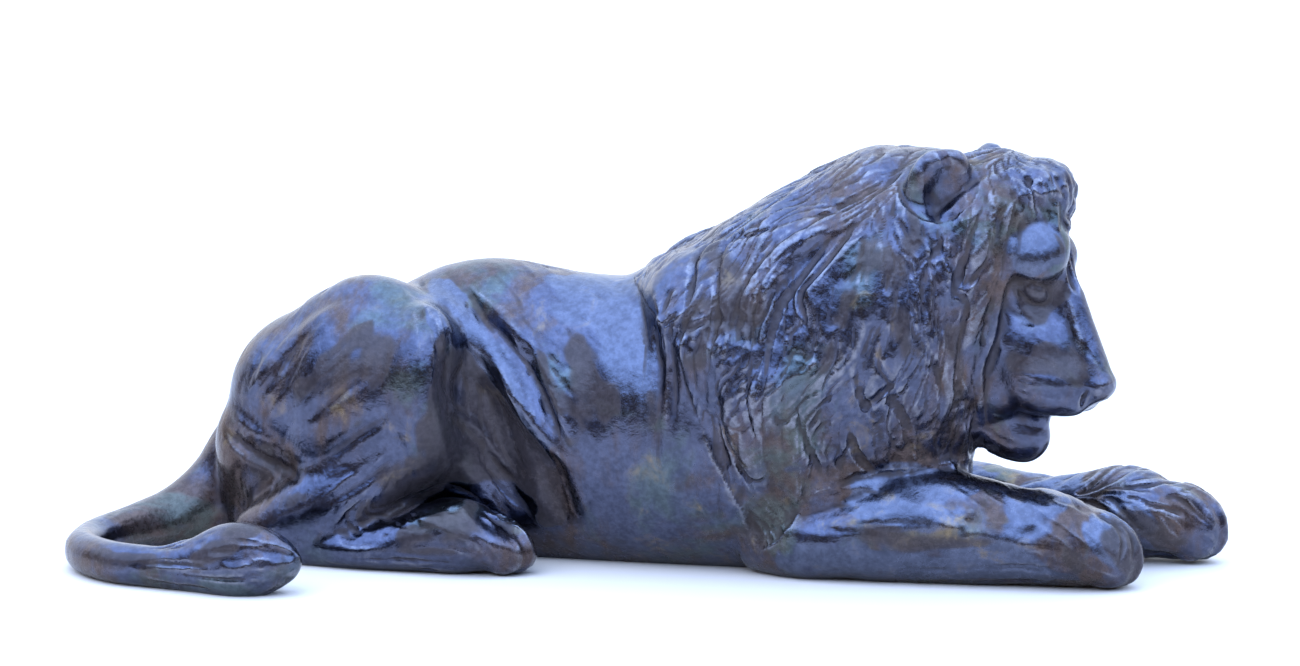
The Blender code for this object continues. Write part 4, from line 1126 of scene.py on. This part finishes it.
class Nodes:
    """A material's nodes, made and joined one after another."""

    def __init__(self, tree):
        self.tree = tree

    def put(self, socket, value):
        """Joins a socket to another one, or sets it to a value."""
        if isinstance(value, bpy.types.NodeSocket):
            self.tree.links.new(value, socket)
        else:
            socket.default_value = value

    def add(self, kind, inputs=(), **settings):
        """A new node with its settings and inputs."""
        node = self.tree.nodes.new("ShaderNode" + kind)
        for name, value in settings.items():
            setattr(node, name, value)
        for name, value in dict(inputs).items():
            self.put(node.inputs[name], value)
        return node

    def noise(self, place, scale, detail=5, rough=0.55, twist=0.0):
        """A cloudy field from 0 to 1, with about scale blots to the metre."""
        return self.add("TexNoise", {"Vector": place, "Scale": scale, "Detail": detail, "Roughness": rough,
                                     "Distortion": twist}).outputs["Fac"]

    def between(self, value, low, high, least=0.0, most=1.0):
        """value eased from least at low to most at high."""
        return self.add("MapRange", {"Value": value, "From Min": low, "From Max": high, "To Min": least,
                                     "To Max": most}, interpolation_type="SMOOTHSTEP").outputs["Result"]

    def plus(self, a, b, times=1.0):
        """a + b * times."""
        return self.add("Math", {0: b, 1: times, 2: a}, operation="MULTIPLY_ADD").outputs[0]

    def times(self, a, b):
        """a * b."""
        return self.add("Math", {0: a, 1: b}, operation="MULTIPLY").outputs[0]

    def mixed(self, share, a, b, kind="MIX"):
        """Colour a where share is 0, and b where it is 1."""
        node = self.add("Mix", data_type="RGBA", blend_type=kind)
        for index, value in ((0, share), (6, a), (7, b)):
            self.put(node.inputs[index], value)
        return node.outputs[2]

    def ramp(self, value, stops):
        """Colour by value, through the stops' places and colours."""
        node = self.add("ValToRGB", {"Fac": value})
        row = node.color_ramp
        while len(row.elements) < len(stops):
            row.elements.new(0.5)
        for element, (place, colour) in zip(row.elements, stops):
            element.position = place
            element.color = (*colour, 1)
        return node.outputs["Color"]


def material(name):
    """A new material and its shader."""
    made = bpy.data.materials.new(name)
    made.use_nodes = True
    return made, made.node_tree.nodes["Principled BSDF"]


def bronze():
    """Patinated bronze: blue-black in the open, browner and greener in clouds, lighter and bluer on the
    bright patches, which are partly a painted sheen.

    It is dull and brown in the stains, which are partly painted shade, darker in the hollows, with dark
    patina and painted shade there, and worn on the ridges."""
    made, shader = material("bronze_patina")
    own = Nodes(made.node_tree)
    place = own.add("TexCoord").outputs["Object"]
    down = own.add("Mapping", {"Vector": place, "Scale": (1, 1, 0.16)}).outputs["Vector"]
    hollow, ridge, stained_and_shaded, bright_patina_and_sheen = (own.add("Attribute", attribute_name=name).outputs["Fac"]
                                     for name in ("hollow", "ridge", "stained_and_shaded", "bright_patina_and_sheen"))
    clouds = own.noise(place, 3.2, 7, 0.62, 0.8)
    drips = own.noise(down, 22, 5, 0.6, 0.3)
    spots = own.noise(place, 17, 6, 0.6, 0.5)
    grain = own.noise(place, 90, 6, 0.65)
    open_to = own.between(bright_patina_and_sheen, 0.1, 0.7, 1, 0)
    brown = own.times(own.between(own.plus(clouds, drips, 0.35), 0.62, 0.80, 0, 0.85), open_to)
    colour = own.mixed(brown, BLUE_BRONZE, BROWN_BRONZE)
    green = own.times(own.between(own.noise(place, 5.5, 6, 0.6, 0.6), 0.53, 0.66, 0, 0.55), open_to)
    colour = own.mixed(green, colour, VERDIGRIS)
    # Lighter and bluer on the bright patches: partly brighter patina, partly a painted sheen.
    colour = own.mixed(own.between(bright_patina_and_sheen, 0.1, 1, 0, 0.75), colour, BRIGHT_BRONZE_AND_SHEEN)
    # The stains: brown patina, partly painted shade, with ragged edges; they darken and dull the bronze.
    ragged = own.plus(own.plus(stained_and_shaded, spots, 0.7), grain, 0.4)
    stain_and_shade = own.between(ragged, 0.75, 1.5, 0, 0.85)
    colour = own.mixed(stain_and_shade, colour, RUST_AND_SHADE)
    gold = own.between(own.noise(place, 4.1, 4), 0.48, 0.62, 0, 0.6)
    gold = own.times(own.between(spots, 0.55, 0.72), gold)
    colour = own.mixed(gold, colour, OCHRE)
    # Darker in the hollows: dark patina with painted shade.
    colour = own.mixed(own.between(hollow, 0.1, 1, 0, 0.7), colour, GRIME_AND_SHADE)
    worn = own.times(own.between(ridge, 0.25, 1), own.between(grain, 0.3, 0.65, 0.55, 0.9))
    colour = own.mixed(own.times(worn, own.between(stained_and_shaded, 0.2, 0.9, 1, 0.15)), colour, WORN)
    shade = own.between(own.plus(grain, spots, 0.7), 0.6, 1.1, 0.72, 1.22)
    shade = own.add("CombineXYZ", {0: shade, 1: shade, 2: shade}).outputs[0]
    own.put(shader.inputs["Base Color"], own.mixed(1.0, colour, shade, "MULTIPLY"))
    dull = own.plus(own.plus(stain_and_shade, own.times(brown, open_to), 0.4), own.between(hollow, 0.2, 1), 0.6)
    own.put(shader.inputs["Metallic"], own.between(dull, 0, 1, 1, 0.35))
    shader.inputs["Specular IOR Level"].default_value = 0.2
    rough = own.plus(own.between(clouds, 0.35, 0.7, 0.14, 0.24), own.between(grain, 0.3, 0.7, 0, 0.1))
    own.put(shader.inputs["Roughness"], own.plus(rough, own.between(hollow, 0.1, 0.8, 0, 0.25)))
    relief = own.plus(own.noise(place, 34, 4, 0.5, 0.4), grain, 0.45)
    bump = own.add("Bump", {"Strength": 0.35, "Distance": 0.004, "Height": relief})
    own.put(shader.inputs["Normal"], bump.outputs[0])
    return made


def floor():
    """A pale plain floor."""
    mesh = bpy.data.meshes.new("floor")
    far = 60  # metres to each side
    mesh.from_pydata([(-far, -far, 0), (far, -far, 0), (far, far, 0), (-far, far, 0)], [], [(0, 1, 2, 3)])
    made = placed("floor", mesh)
    paint, shader = material("pale_floor")
    shader.inputs["Base Color"].default_value = (0.66, 0.6, 0.54, 1)
    shader.inputs["Roughness"].default_value = 0.8
    mesh.materials.append(paint)


def light_up():
    """An open sky over a dark horizon in front, a bright one behind, and a large soft warm lamp."""
    world = bpy.data.worlds.new("studio")
    bpy.context.scene.world = world
    world.use_nodes = True
    own = Nodes(world.node_tree)
    place = own.add("TexCoord").outputs["Generated"]
    way = own.add("SeparateXYZ", {0: place})
    wobble = own.between(own.noise(place, 4.5, 5, 0.6), 0.25, 0.75, -0.09, 0.09)
    up = own.plus(way.outputs["Z"], wobble)
    front = own.ramp(up, [(0, (0.30, 0.24, 0.20)), (0.10, (0.16, 0.11, 0.085)), (0.30, (0.20, 0.15, 0.13)),
                          (0.38, (1.4, 2, 3.3)), (0.62, (2.2, 3.1, 5)), (1, (2.3, 3.1, 4.8))])
    back = own.ramp(up, [(0, (1.3, 1.3, 1.4)), (0.25, (1.7, 1.9, 2.3)), (1, (2.3, 3.1, 4.6))])
    behind = own.between(way.outputs["Y"], -0.1, 0.45)
    own.put(world.node_tree.nodes["Background"].inputs["Color"], own.mixed(behind, front, back))
    lamp = bpy.data.lights.new("lamp", "AREA")
    lamp.shape = "DISK"
    lamp.size = 7  # metres across
    lamp.energy = 150  # watts
    lamp.color = (1, 0.9, 0.72)
    made = placed("lamp", lamp)
    made.location = (-2.4, -3.6, 4.2)
    made.visible_glossy = False
    made.rotation_euler = (Vector((0, 0, 0.3)) - made.location).to_track_quat("-Z", "Y").to_euler()


def camera():
    """The camera stands off the right flank, a little toward the head, and looks slightly down."""
    azimuth, elevation, away = math.radians(12), math.radians(8), 7.0
    target = Vector((0, 0, 0.395))
    back = Vector((math.sin(azimuth) * math.cos(elevation), -math.cos(azimuth) * math.cos(elevation),
                   math.sin(elevation)))
    made = bpy.data.cameras.new("camera")
    made.sensor_width = 36
    made.lens = 110.5  # millimetres
    stand = placed("camera", made)
    stand.location = target + back * away
    stand.rotation_euler = (-back).to_track_quat("-Z", "Y").to_euler()
    bpy.context.scene.camera = stand


def main():
    """Camera, light and floor, and the beast in its pieces, which stand for the model's one casting."""
    camera()
    light_up()
    floor()
    finish = bronze()
    for piece in split(sculpt(), PARTS):
        piece.data.materials.append(finish)
        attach(piece, "root")
        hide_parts("lion")
    bpy.context.scene.view_settings.view_transform = "Standard"


main()
